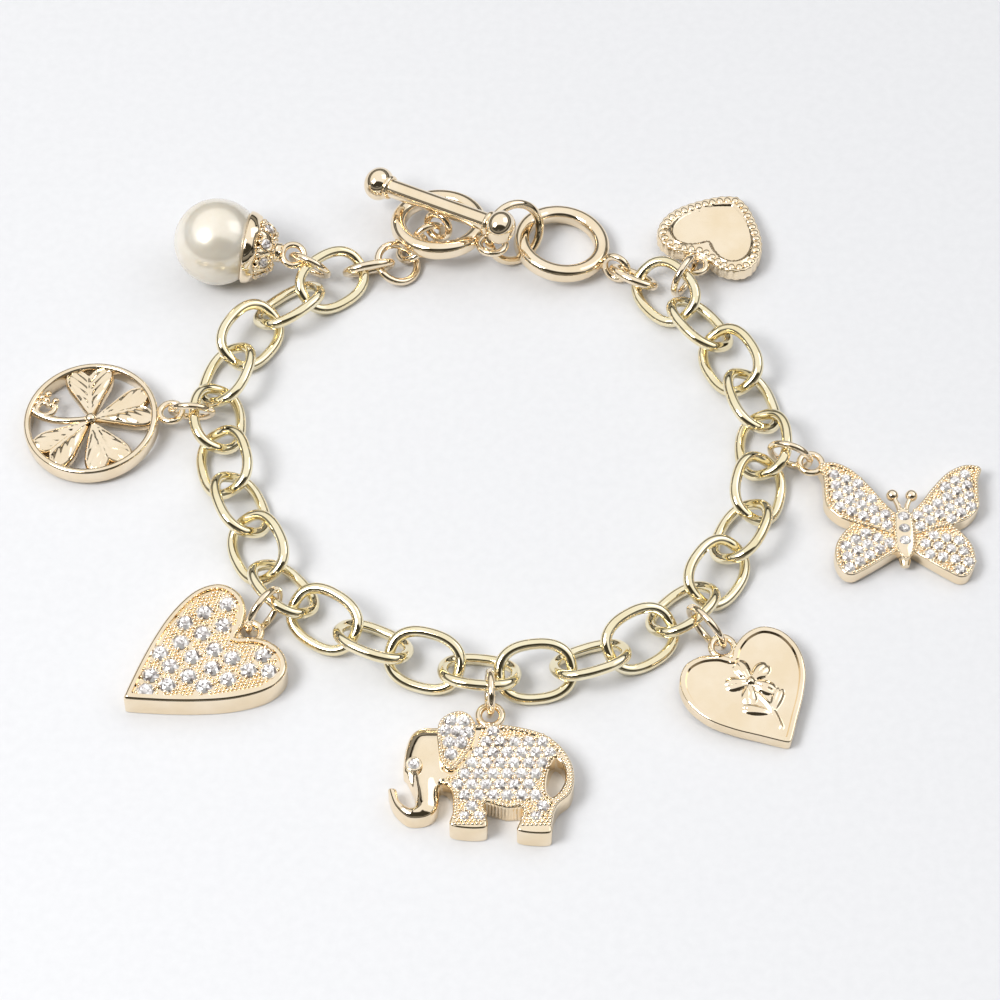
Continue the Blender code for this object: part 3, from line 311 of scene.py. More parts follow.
def tube(path, wire, sides=16, closed=True):
    """Points and faces of round wire along a path, in millimetres."""
    path = np.asarray(path, float)
    count = len(path)
    ahead = np.roll(path, -1, 0) - np.roll(path, 1, 0) if closed else np.gradient(path, axis=0)
    ahead /= np.linalg.norm(ahead, axis=1)[:, None]
    normal = np.linalg.svd(path - path.mean(0))[2][2]
    radius = np.broadcast_to(np.asarray(wire, float) / 2, (count,))[:, None, None]
    side = np.cross(ahead, normal)
    side /= np.linalg.norm(side, axis=1)[:, None]
    rise = np.cross(side, ahead)
    angles = np.linspace(0.0, 2 * math.pi, sides, endpoint=False)[None, :, None]
    rings = path[:, None] + radius * (np.cos(angles) * side[:, None] + np.sin(angles) * rise[:, None])
    faces = lattice(count, sides, closed, True)
    if not closed:
        faces.append(tuple(range(sides)))
        faces.append(tuple((count - 1) * sides + k for k in range(sides)))
    return rings.reshape(-1, 3), faces


def along_loop(line, pitch, closed=True, least=2, count=None):
    """Evenly spaced places along a line."""
    if closed:
        line = np.concatenate([line, line[:1]])
    run = np.concatenate([[0.0], np.cumsum(np.linalg.norm(np.diff(line, axis=0), axis=1))])
    count = count or max(least, round(run[-1] / pitch))
    even = np.linspace(0.0, run[-1], count + 1)
    result = np.stack([np.interp(even, run, values) for values in line.T], 1)
    return result[:-1] if closed else result


def oval_path(half_length, half_width, fullness, steps):
    """A flat oval of even steps; more fullness makes it squarer."""
    angles = np.linspace(0.0, 2 * math.pi, steps, endpoint=False)
    power = 2.0 / fullness
    x = np.sign(np.cos(angles)) * np.abs(np.cos(angles)) ** power * half_length
    y = np.sign(np.sin(angles)) * np.abs(np.sin(angles)) ** power * half_width
    return along_loop(np.stack([x, y, np.zeros(steps)], 1), None, count=steps)


def hoop(diameter, wire, steps, sides):
    """A round ring of wire, flat, its diameter taken to the middle of the wire."""
    return tube(oval_path(diameter / 2, diameter / 2, 2.0, steps), wire, sides)


def moved(part, matrix):
    """Points carried by a matrix, faces as they are."""
    points = np.asarray(part[0], float)
    matrix = np.array(matrix)
    return points @ matrix[:3, :3].T + matrix[:3, 3], part[1]


def turned(profile, steps=96, closed=True):
    """A profile of (radius, height) points turned about Z."""
    profile = np.asarray(profile, float)
    angles = np.linspace(0.0, 2 * math.pi, steps, endpoint=False)[:, None]
    reach = profile[None, :, 0]
    height = np.broadcast_to(profile[None, :, 1], (steps, len(profile)))
    rings = np.stack([np.cos(angles) * reach, np.sin(angles) * reach, height], 2)
    return rings.reshape(-1, 3), lattice(steps, len(profile), True, closed)


def rounded_box_profile(inner, outer, half, radius, steps=6):
    """Rectangle with rounded corners as a closed (radius, height) profile."""
    corners = [
        (outer - radius, half - radius, 0.0),
        (inner + radius, half - radius, 90.0),
        (inner + radius, -half + radius, 180.0),
        (outer - radius, -half + radius, 270.0),
    ]
    profile = []
    for x, y, start in corners:
        for step in range(steps + 1):
            across, up = polar(radius, math.radians(start + 90.0 * step / steps))
            profile.append((x + across, y + up))
    return profile


def sphere(diameter, scale=(1.0, 1.0, 1.0), columns=48, rows=24):
    """Points and faces of a ball about the origin, its poles on X."""
    lean = (math.pi * np.arange(rows + 1) / rows)[:, None]
    angle = (2 * math.pi * np.arange(columns) / columns)[None, :]
    along = np.broadcast_to(np.cos(lean), (rows + 1, columns))
    points = np.stack([along, np.sin(lean) * np.cos(angle), np.sin(lean) * np.sin(angle)], 2)
    points = points.reshape(-1, 3) * np.array(scale) * diameter / 2
    return points, lattice(rows + 1, columns, False, True)


def node_points(name):
    """A CAD node's vertices in millimetres."""
    node = frame["nodes"][name]
    points = np.empty(len(node.data.vertices) * 3)
    node.data.vertices.foreach_get("co", points)
    matrix = np.array(node.matrix_world)
    return (points.reshape(-1, 3) @ matrix[:3, :3].T + matrix[:3, 3]) / MM


# Links and rings of wire, each in the place of its CAD node


def wire_loop(name, finish, fullness, slot, swell):
    """A smooth loop of wire in the place of a CAD node, its sizes read from the node."""
    points = node_points(name)
    centre = (points.max(0) + points.min(0)) / 2
    axes = np.linalg.svd(points - points.mean(0), full_matrices=False)[2]
    local = (points - centre) @ axes.T
    centre = centre + axes.T @ ((local.max(0) + local.min(0)) / 2)
    local = (points - centre) @ axes.T
    reach = (local.max(0) - local.min(0)) / 2
    path = oval_path(reach[0] - reach[2], reach[1] - reach[2], fullness, 96)
    loop_points, faces = tube(path, 2 * reach[2] * swell, 20)
    loop = loop_points @ axes + centre, faces
    piece(name + "_wire", name, Matrix(), loop, finish=finish, slot=slot)


for number in range(1, 26):
    wire_loop(f"chain_link_{number:02d}", chain_gold, LINK_FULLNESS, "chain_gold", LINK_SWELL)
ends = ("end_link_left", "end_link_right", "end_ring_left", "bar_ring_1", "bar_ring_2", "joining_ring")
charms = ("pearl", "clover", "pave_heart", "elephant", "medal_heart", "butterfly", "plain_heart")
for name in ends + tuple(charm + "_ring" for charm in charms):
    wire_loop(name, warm_gold, 2.0, "warm_gold", RING_SWELL)


# Toggle clasp


def eye_part(outer, wire, matrix):
    return moved(hoop(outer - wire, wire, 48, 14), matrix)


def toggle_clasp():
    """Both rings and the bar with their soldered eyes."""
    outer = TOGGLE_OUTER / 2
    half = TOGGLE_HEIGHT / 2
    ring = turned(rounded_box_profile(outer - TOGGLE_WIDTH, outer, half, TOGGLE_ROUND))
    reach = outer + EYE_OUTER / 2 - EYE_SEAT
    height = outer * math.sin(math.radians(CLASP_TILT)) + half + CLASP_LIFT
    inner_pose = Matrix.Translation(CLASP_PLACE + UP * height) @ rotation(-CLASP_TILT, "X")
    eye = eye_part(EYE_OUTER, EYE_WIRE, rotation(INNER_EYE_HEADING, "Z") @ shift(reach, 0.0, 0.0))
    piece("toggle_ring_inner_polished", "toggle_ring_inner", inner_pose, ring, eye)
    outer_pose = Matrix.Translation(CLASP_PLACE + OUTER_RING_PLACE)
    outer_pose = outer_pose @ rotation(OUTER_RING_TILT, "Y") @ rotation(OUTER_RING_LEAN, "X")
    bail_pose = rotation(BAIL_HEADING, "Z") @ shift(reach, 0.0, BAIL_RAISE) @ rotation(BAIL_ROLL, "X")
    bail = eye_part(EYE_OUTER, EYE_WIRE, bail_pose)
    piece("toggle_ring_outer_polished", "toggle_ring_outer", outer_pose, ring, bail)
    bar_pose = Matrix.Translation(inner_pose.translation + BAR_PLACE)
    bar_pose = bar_pose @ rotation(BAR_HEADING, "Z") @ rotation(-BAR_RISE, "Y")
    middle = (BAR_LENGTH - BAR_END_LENGTH) / 2
    thick = BAR_DIAMETER / 2
    along = rotation(90.0, "Y")
    rod = turned([(0.0, -middle), (thick, -middle), (thick, middle), (0.0, middle)], 48, False)
    parts = [moved(rod, along)]
    flat = BAR_END_LENGTH / BAR_END_DIAMETER
    collar = moved(hoop(BAR_DIAMETER + 2 * COLLAR_RAISE, COLLAR_WIRE, 48, 12), along)
    ball = sphere(BAR_END_DIAMETER * BALL_SWELL, (flat * BALL_STRETCH, 1.0, 1.0))
    for side in (-1.0, 1.0):
        parts.append(moved(ball, shift(side * middle, 0.0, 0.0)))
        parts.append(moved(collar, shift(side * (middle - BAR_END_LENGTH * 0.5), 0.0, 0.0)))
    eye_pose = rotation(BAR_EYE_TURN, "X") @ shift(0.0, -(thick + EYE_OUTER / 2 - EYE_SEAT), 0.0)
    parts.append(eye_part(EYE_OUTER, EYE_WIRE, eye_pose))
    piece("toggle_bar_polished", "toggle_bar", bar_pose, *parts)


toggle_clasp()


# Flat charms: outlines, bodies with a shaped top, stones and beads


def spline(points, closed, spacing=0.22):
    """A smooth curve through points, with even steps."""
    points = [np.asarray(point, float) for point in points]
    if closed:
        chain_points = [points[-1]] + points + [points[0], points[1]]
    else:
        chain_points = [2 * points[0] - points[1]] + points + [2 * points[-1] - points[-2]]
    dense = []
    for a, b, c, d in zip(chain_points, chain_points[1:], chain_points[2:], chain_points[3:]):
        for step in range(16):
            t = step / 16
            bend = (2 * a - 5 * b + 4 * c - d) * t * t
            dense.append(0.5 * (2 * b + (c - a) * t + bend + (3 * b - a - 3 * c + d) * t ** 3))
    if not closed:
        dense.append(points[-1])
    return along_loop(np.array(dense), spacing, closed, 8)


def mirrored(shares, width, length, spacing=0.22, tip=0.3):
    """A closed outline from its right half, given as shares from the tip up to the notch."""
    half = [(x * width / 2, y * length) for x, y in shares]
    right = spline(half, False, spacing)
    right[[0, -1], 0] = 0.0
    right[:, 1] = np.hypot(right[:, 1], tip)
    left = right[::-1][1:-1] * (-1.0, 1.0)
    return np.concatenate([right, left])


def edge_distance(points, outline):
    """Distance of each point from a closed outline."""
    along = np.roll(outline, -1, 0) - outline
    lengths = np.maximum((along ** 2).sum(1), 1e-12)
    result = np.full(len(points), 1e9)
    for low in range(0, len(points), 3000):
        part = points[low:low + 3000]
        to = part[:, None] - outline[None]
        share = np.clip((to * along).sum(2) / lengths, 0.0, 1.0)
        gap = to - share[..., None] * along
        result[low:low + 3000] = np.sqrt((gap ** 2).sum(2)).min(1)
    return result


def within(points, outline):
    """Which points lie inside a closed outline."""
    x, y = points[:, 0][:, None], points[:, 1][:, None]
    x0, y0 = outline[:, 0], outline[:, 1]
    x1, y1 = np.roll(x0, -1), np.roll(y0, -1)
    spans = (y0 > y) != (y1 > y)
    rise = np.where(y1 == y0, 1e-12, y1 - y0)
    crossing = x0 + (y - y0) / rise * (x1 - x0)
    return (spans & (x < crossing)).sum(1) % 2 == 1


def inward(outline):
    """Unit vectors that point from a closed outline to its inside."""
    ahead = np.roll(outline, -1, 0) - np.roll(outline, 1, 0)
    area = (outline[:, 0] * np.roll(outline[:, 1], -1) - np.roll(outline[:, 0], -1) * outline[:, 1]).sum()
    result = np.stack([-ahead[:, 1], ahead[:, 0]], 1) * np.sign(area)
    return result / np.maximum(np.linalg.norm(result, axis=1), 1e-9)[:, None]


def inset(outline, distance):
    """The outline moved inwards, with what would cross itself left out."""
    moved_points = outline + inward(outline) * distance
    keep = edge_distance(moved_points, outline) > abs(distance) * 0.97
    return moved_points[keep]


def fill(loops, inner, holes=()):
    """Triangles between nested loops, through the inner points, without the holes."""
    points, edges = [], []
    for loop in loops:
        start = len(points)
        points.extend(loop.tolist())
        edges.extend((start + k, start + (k + 1) % len(loop)) for k in range(len(loop)))
    points.extend(np.asarray(inner).tolist())
    result = delaunay_2d_cdt([Vector(point) for point in points], edges, [], 1, 1e-4)
    placed = np.array([tuple(point) for point in result[0]])
    faces = result[2]
    origin = {source: index for index, sources in enumerate(result[3]) for source in sources}
    for hole in holes:
        gone = within(np.array([placed[list(face)].mean(0) for face in faces]), hole)
        faces = [face for face, out in zip(faces, gone) if not out]
    return placed, faces, origin


def keep_inside(points, outline, margin, holes):
    """The points inside an outline that keep a margin from it and from its holes."""
    points = points[within(points, outline)]
    points = points[edge_distance(points, outline) > margin]
    for hole in holes:
        points = points[~within(points, hole)]
        points = points[edge_distance(points, hole) > margin]
    return points


def grid_inside(outline, spacing, margin, holes=()):
    """A triangular grid of points that keep a margin from the outline."""
    low, high = outline.min(0), outline.max(0)
    rows = []
    for row, y in enumerate(np.arange(low[1], high[1], spacing * ROW_STEP)):
        xs = np.arange(low[0] + (row % 2) * spacing / 2, high[0], spacing)
        rows.append(np.stack([xs, np.full(len(xs), y)], 1))
    return keep_inside(np.concatenate(rows), outline, margin, holes)


def slab(outline, top, rings, spacing, foot=0.0, holes=(), lines=()):
    """A closed body over the outline: its top follows top(points, distance from the edge)."""
    loops = [outline] + [inset(outline, distance) for distance in rings]
    loops += list(holes) + [inset(hole, -rings[0]) for hole in holes] + list(lines)
    margin = max(rings) + spacing * 0.5
    inner = grid_inside(outline, spacing, margin, holes)
    flat, faces, origin = fill(loops, inner, holes)
    edge = edge_distance(flat, outline)
    for hole in holes:
        edge = np.minimum(edge, edge_distance(flat, hole))
    upper = np.column_stack([flat, top(flat, edge)])
    low_loops = [outline, inset(outline, CHAMFER)] + list(holes)
    low_flat, low_faces, low_origin = fill(low_loops, np.zeros((0, 2)), holes)
    lift = np.maximum(CHAMFER - edge_distance(low_flat, outline), 0.0)
    lower = np.column_stack([low_flat, foot + lift])
    points, result = merge((upper, faces), (lower, low_faces))
    shift_by = len(upper)
    start = sum(len(loop) for loop in loops[:1 + len(rings)])
    low_start = sum(len(loop) for loop in low_loops[:2])
    spans = [(0, 0, len(outline))]
    for hole in holes:
        spans.append((start, low_start, len(hole)))
        start += len(hole)
        low_start += len(hole)
    for begin, low_begin, count in spans:
        for k in range(count):
            m = (k + 1) % count
            a, b = origin[begin + k], origin[begin + m]
            c, d = low_origin[low_begin + m] + shift_by, low_origin[low_begin + k] + shift_by
            if a != b:
                result.append((a, b, c, d))
    return points, result


def rounded(edge, radius):
    """How far a rounded edge drops at a distance from the border."""
    reach = np.clip(radius - edge, 0.0, radius)
    return radius - np.sqrt(radius ** 2 - reach ** 2)


def ramp(value, low, high):
    """A smooth step from 0 at low to 1 at high."""
    share = np.clip((value - low) / (high - low), 0.0, 1.0)
    return share * share * (3 - 2 * share)


def scatter(part, places, turns=None, scales=None):
    """Copies of a part at (x, y, z) places."""
    base = np.asarray(part[0], float)
    points, faces = [], []
    for number, place_point in enumerate(places):
        angle = 0.0 if turns is None else turns[number]
        size = 1.0 if scales is None else scales[number]
        cosine, sine = math.cos(angle) * size, math.sin(angle) * size
        copy = np.empty_like(base)
        copy[:, 0] = base[:, 0] * cosine - base[:, 1] * sine
        copy[:, 1] = base[:, 0] * sine + base[:, 1] * cosine
        copy[:, 2] = base[:, 2] * size
        start = len(base) * number
        points.append(copy + place_point)
        faces.extend(tuple(index + start for index in face) for face in part[1])
    return np.concatenate(points), faces


def dome(diameter, rise=1.0, columns=12, rows=4):
    """A small bead, its lower part sunk below its place."""
    points = [(0.0, 0.0, diameter / 2 * rise)]
    for row in range(1, rows + 1):
        lean = math.radians(105.0) * row / rows
        for column in range(columns):
            angle = 2 * math.pi * column / columns
            x, y = math.sin(lean) * math.cos(angle), math.sin(lean) * math.sin(angle)
            points.append((x * diameter / 2, y * diameter / 2, math.cos(lean) * diameter / 2 * rise))
    faces = [(0, 1 + column, 1 + (column + 1) % columns) for column in range(columns)]
    for row in range(rows - 1):
        for column in range(columns):
            after = (column + 1) % columns
            start = 1 + row * columns
            faces.append((start + column, start + columns + column, start + columns + after, start + after))
    faces.append(tuple(1 + (rows - 1) * columns + column for column in reversed(range(columns))))
    return points, faces


def brilliant(diameter):
    """A round cut stone: table with the cut seen through it, stars, kites, girdle and pavilion."""
    radius = diameter / 2
    crown = 0.17 * diameter

    def circle(count, share, height, offset=0.0):
        angles = [2 * math.pi * (k + offset) / count for k in range(count)]
        return [(math.cos(a) * radius * share, math.sin(a) * radius * share, height) for a in angles]

    points = [(0.0, 0.0, crown - 0.035 * diameter)]
    points += circle(8, 0.26, crown - 0.075 * diameter, 0.5)
    points += circle(8, 0.58, crown)
    points += circle(8, 0.80, crown * 0.52, 0.5)
    points += circle(16, 1.0, 0.0)
    points += circle(16, 0.97, -0.05 * diameter)
    points.append((0.0, 0.0, -0.3 * diameter))
    core, table, star, girdle, foot, lowest = 1, 9, 17, 25, 41, 57
    faces = []
    for k in range(8):
        m, before, edge = (k + 1) % 8, (k - 1) % 8, girdle + 2 * k
        faces += [
            (0, core + k, core + m), (core + k, table + k, table + m), (core + k, core + before, table + k),
            (table + k, star + k, table + m), (table + k, star + before, edge, star + k),
            (star + k, edge, edge + 1), (star + k, edge + 1, girdle + (2 * k + 2) % 16),
        ]
    for k in range(16):
        m = (k + 1) % 16
        faces += [(girdle + k, foot + k, foot + m, girdle + m), (foot + k, lowest, foot + m)]
    return points, faces


def cut_piece(name, node, pose, *stones, odds=None):
    """Cut stones as one piece, each facet in one of three painted brightnesses: painted glint, painted
    half-shade and painted dark reflection.
    """
    made = piece(name, node, pose, *stones, finish=painted_light_crystals[0], smooth=False)
    for finish in painted_light_crystals[1:]:
        made.data.materials.append(finish)
    # a random painted brightness for each facet, standing in for glint and dark reflection
    painted_facet_levels = rng.choice(3, len(made.data.polygons), p=odds)
    made.data.polygons.foreach_set("material_index", painted_facet_levels.astype(np.int32))


def stone_piece(name, node, pose, places, diameter):
    """Cut stones that lie flat, each turned its own way."""
    turns = rng.uniform(0.0, math.pi, len(places))
    # facets share painted glint, painted half-shade and painted dark reflection by these odds
    cut_piece(name, node, pose, scatter(brilliant(diameter), places, turns), odds=PAINTED_FACET_LIGHT_ODDS)


def flat_frame(node, turn, tilt, rise, anchors):
    """How a flat charm lies: turned and tilted, with its place read from its CAD node."""
    rise = Vector((*rise, 0.0)).normalized()
    axis = Vector((rise.y, -rise.x, 0.0))
    turned_pose = rotation(turn - 90.0, "Z") @ rotation(tilt, axis)
    local = node_points(node) @ np.array(turned_pose)[:3, :3]
    spots = {"min": local.min(0), "mid": (local.min(0) + local.max(0)) / 2, "max": local.max(0)}
    place_point = [spots[kind][k] - value for k, (kind, value) in enumerate(anchors)]
    return turned_pose @ Matrix.Translation(place_point)


def charm_eye(x, y, z):
    return eye_part(CHARM_EYE_OUTER, CHARM_EYE_WIRE, shift(x, y, z))


def hexagon_rows(outline, pitch, margin, lean=0.0, holes=(), offset=(0.0, 0.0)):
    """Places of stones or beads in staggered rows that keep a margin from the edge."""
    turn = math.radians(lean)
    spin = np.array([[math.cos(turn), -math.sin(turn)], [math.sin(turn), math.cos(turn)]])
    centre = outline.mean(0)
    count = int(np.abs(outline - centre).max() * 1.5 / pitch) + 1
    places = [
        ((column + 0.5 * (row % 2)) * pitch, row * pitch * ROW_STEP)
        for row in range(-count, count + 1)
        for column in range(-count, count + 1)
    ]
    return keep_inside((np.array(places) + offset) @ spin.T + centre, outline, margin, holes)


def packed_rows(outline, pitch, margin, holes, keep):
    """Staggered rows at the lean and offset that take the most stones."""
    shares = (0.0, 0.25, 0.5, 0.75)
    tries = [
        keep(hexagon_rows(outline, pitch, margin, lean, holes, (across * pitch, along * pitch)))
        for lean in (-24.0, -12.0, 0.0, 12.0, 24.0, 36.0)
        for across in shares
        for along in shares
    ]
    return max(tries, key=len)


def raised(places, height):
    """Flat places at a height."""
    places = np.asarray(places, float)
    return np.column_stack([places, np.broadcast_to(height, (len(places),))])


def bead_rows(diameter, places, height):
    """Small beads at flat places, all at one height."""
    return scatter(dome(diameter), raised(places, height))


def prongs_round(places, reach, start):
    """Six prong places round each stone."""
    steps = [polar(reach, math.radians(60.0 * k + start)) for k in range(6)]
    return np.array([(x + across, y + up) for x, y in places for across, up in steps])


def clear_of(places, others, distance):
    """Places that lie further than a distance from all others."""
    gaps = np.linalg.norm(places[:, None] - np.asarray(others)[None, :, :2], axis=2)
    return places[gaps.min(1) > distance]


# Heart with stones

PAVE_HALF = [
    (0.0, 0.0), (0.21, 0.12), (0.43, 0.25), (0.65, 0.395), (0.84, 0.545), (0.97, 0.70), (1.0, 0.82),
    (0.92, 0.93), (0.73, 0.99), (0.5, 1.0), (0.28, 0.965), (0.11, 0.895), (0.0, 0.815),
]
PAVE_STONES = [
    (-0.56, 0.9), (-0.62, 0.75), (-0.28, 0.8), (-0.62, 0.61), (-0.33, 0.66), (-0.37, 0.515),
    (0.0, 0.66), (-0.38, 0.37), (-0.07, 0.52), (0.26, 0.72), (-0.11, 0.375), (0.25, 0.58),
    (0.56, 0.76), (-0.13, 0.24), (0.18, 0.43), (0.53, 0.62), (0.14, 0.29), (0.44, 0.47), (0.05, 0.155),
    (0.74, 0.86), (0.46, 0.89),
]


def pave_heart():
    node = "pave_heart_charm"
    width, length, height, rim, sunk = 15.7, 18.2, 3.1, 0.72, 0.42
    outline = mirrored(PAVE_HALF, width, length)
    pose = flat_frame(node, 33.3, 0.0, (0.0, 1.0), TIP_AT_ORIGIN)

    def top(points, edge):
        return height - rounded(edge, 0.5) - sunk * ramp(edge, rim, rim + 0.1)

    rings = (0.02, 0.07, 0.15, 0.26, 0.38, 0.5, rim, rim + 0.1)
    body = slab(outline, top, rings, 1.2)
    floor_level = height - sunk
    piece("pave_heart_body", node, pose, body, charm_eye(0.0, 16.633, 2.232))
    places = [(x * width / 2, y * length) for x, y in PAVE_STONES]
    ground = inset(outline, rim + 0.12)
    stones_at = raised(places, floor_level + 0.1)
    stone_piece("pave_heart_stones_cut", node, pose, stones_at, 2.0)
    beads = hexagon_rows(ground, 0.47, 0.2, 8.0)
    beads = clear_of(beads, stones_at, 1.16)
    prongs = prongs_round(places, 1.03, 12.0)
    prongs = prongs[within(prongs, ground)]
    scales = rng.uniform(0.85, 1.1, len(beads))
    grain = scatter(dome(0.46), raised(beads, floor_level + 0.02), scales=scales)
    piece("pave_heart_grain", node, pose, grain, bead_rows(0.42, prongs, floor_level + 0.14))


# Clover disc


def clover():
    node = "clover_charm"
    pose = flat_frame(node, 90.0, 3.5, (0.995, 0.105), [("min", -7.9), ("mid", 0.0), ("min", 0.0)])
    outer, inner, height = 7.9, 7.1, 2.2
    profile = [
        (inner, 0.25), (inner + 0.12, 0.06), (inner + 0.3, 0.0), (outer - 0.3, 0.0), (outer - 0.1, 0.08),
        (outer, 0.3), (outer, height - 0.4), (outer - 0.06, height - 0.2), (outer - 0.2, height - 0.05),
        (outer - 0.4, height), (inner + 0.22, height - 0.03), (inner + 0.06, height - 0.14),
        (inner, height - 0.35),
    ]
    parts = [turned(profile, 128)]
    shares = [
        (0.0, 0.0), (0.10, 0.07), (0.30, 0.2), (0.60, 0.42), (0.88, 0.62), (1.0, 0.78), (0.95, 0.92),
        (0.68, 1.0), (0.36, 0.99), (0.12, 0.93), (0.0, 0.87),
    ]
    length, width = 7.35, 5.7
    leaf_outline = mirrored(shares, width, length, 0.16, 0.0)

    def leaf_top(points, edge):
        across = np.abs(points[:, 0])
        up = points[:, 1]
        reach = width / 2 * np.clip(up / length * 1.35, 0.05, 1.0)
        share = np.clip(across / reach, 0.0, 1.0)
        fold = 0.22 * share + 0.34 * np.sin(math.pi * share)
        border = 0.22 * np.exp(-((edge - 0.2) / 0.13) ** 2)
        midrib = 0.22 * np.exp(-(across / 0.12) ** 2) * ramp(edge, 0.1, 0.5)
        veins = 0.04 * np.cos(2 * math.pi * (up - across)) * ramp(edge, 0.3, 0.6) * ramp(across, 0.05, 0.3)
        puff = 0.32 * np.sin(np.clip(up / length, 0.0, 1.0) * math.pi)
        return 1.45 + fold * ramp(edge, 0.0, 0.6) + border + midrib + veins + puff * 0.6 - rounded(edge, 0.14)

    for heading in (95.0, 16.0, -66.5, 223.0):
        body = slab(leaf_outline, leaf_top, (0.05, 0.13, 0.22, 0.34), 0.15, 0.75)
        parts.append(moved(body, rotation(heading - 90.0, "Z")))
    turn = rotation(172.0, "Z")
    stem_line = [
        (0.3, 0.0, 1.75), (1.6, 0.35, 1.8), (3.2, 0.55, 1.75), (4.8, 0.42, 1.7), (6.0, 0.0, 1.65),
        (6.9, -0.5, 1.7),
    ]
    stem = spline(stem_line, False, 0.25)
    parts.append(moved(tube(stem, np.linspace(0.75, 1.05, len(stem)), 12, False), turn))
    scroll = []
    for step in range(26):
        x, y = polar(1.25 - 0.032 * step, math.radians(200.0 - 15.0 * step))
        scroll.append((5.75 + x, -0.95 + y, 1.75 + 0.012 * step))
    parts.append(moved(tube(scroll, np.linspace(0.8, 0.5, len(scroll)), 10, False), turn))
    beads = [
        (-5.9, 3.3, 1.75), (-5.2, 3.75, 1.8), (-6.35, 2.6, 1.7), (-4.3, 2.75, 1.75), (-4.75, 2.15, 1.8),
        (-6.75, 1.75, 1.7), (-5.35, 2.95, 1.75),
    ]
    parts.append(scatter(dome(0.85), beads))
    parts.append(moved(dome(1.3, 0.8, 20, 6), shift(0.0, 0.0, 2.0)))
    parts.append(charm_eye(9.299, 0.977, 1.21))
    piece("clover_disc", node, pose, *parts)


# Heart medal with a flower

MEDAL_HALF = [
    (0.0, 0.0), (0.31, 0.168), (0.61, 0.327), (0.85, 0.497), (0.96, 0.69), (0.9, 0.87), (0.69, 0.985),
    (0.41, 1.0), (0.15, 0.945), (0.0, 0.87),
]


def medal_heart():
    node = "medal_heart_charm"
    width, length, height, rim, sunk = 14.7 / 0.97, 14.4, 1.7, 0.62, 0.34
    outline = mirrored(MEDAL_HALF, width, length)
    pose = flat_frame(node, 120.5, 4.0, (0.0, 1.0), TIP_AT_ORIGIN)
    flower = np.array((0.3, 9.0))

    def toward(heading):
        return np.array(polar(1.0, math.radians(heading)))

    def bump(points, centre, heading, long, wide, rise, crease=0.0):
        angle = math.radians(heading)
        x, y = (points - centre).T
        u = x * math.cos(angle) + y * math.sin(angle)
        v = -x * math.sin(angle) + y * math.cos(angle)
        shape = np.clip(1 - (u / long) ** 2 - (v / (wide * (0.75 + 0.3 * u / long))) ** 2, 0.0, 1.0)
        return rise * shape ** 0.75 - crease * np.exp(-(v / 0.12) ** 2) * (shape > 0.05)

    def relief(points):
        bumps = [bump(points, flower, 0.0, 0.62, 0.8, 0.5)]
        for number in range(5):
            heading = 90.0 + 72.0 * number
            centre = flower + toward(heading) * 1.55
            bumps.append(bump(points, centre, heading, 1.45, 1.15, 0.42, 0.12))
        for heading in (-140.0, -40.0):
            centre = np.array((0.25, 4.5)) - toward(heading) * 1.7
            bumps.append(bump(points, centre, heading + 180.0, 1.75, 0.85, 0.36, 0.12))
        bend = 0.3 + 0.35 * np.sin((points[:, 1] - 2.6) * 0.7)
        stem = np.exp(-((points[:, 0] - bend * 0.8) / 0.22) ** 2)
        stem *= ramp(points[:, 1], 2.0, 2.6) * (1 - ramp(points[:, 1], 7.4, 7.9))
        return np.maximum(np.max(bumps, 0), 0.24 * stem)

    def top(points, edge):
        ground = ramp(edge, rim, rim + 0.16)
        ripple = 0.012 * np.sin(points[:, 0] * 1.7 + 0.6) * np.cos(points[:, 1] * 1.3)
        return height - rounded(edge, 0.24) - sunk * ground + ground * (relief(points) + ripple)

    body = slab(outline, top, (0.03, 0.1, 0.24, rim, rim + 0.08, rim + 0.16), 0.15)
    piece("medal_heart_body", node, pose, body, charm_eye(0.0, 14.328, 1.02))


# Plain heart with a beaded edge

PLAIN_HALF = [
    (0.0, 0.0), (0.29, 0.086), (0.6, 0.25), (0.86, 0.435), (1.0, 0.63), (0.98, 0.83), (0.8, 0.955),
    (0.5, 1.0), (0.25, 0.965), (0.0, 0.925),
]
PLAIN_FIELD = [
    (0.0, 1.5), (1.8, 2.5), (3.4, 3.95), (4.6, 5.7), (5.1, 7.5), (4.8, 9.15), (3.7, 10.15), (2.35, 10.2),
    (1.0, 9.5), (0.0, 8.5),
]


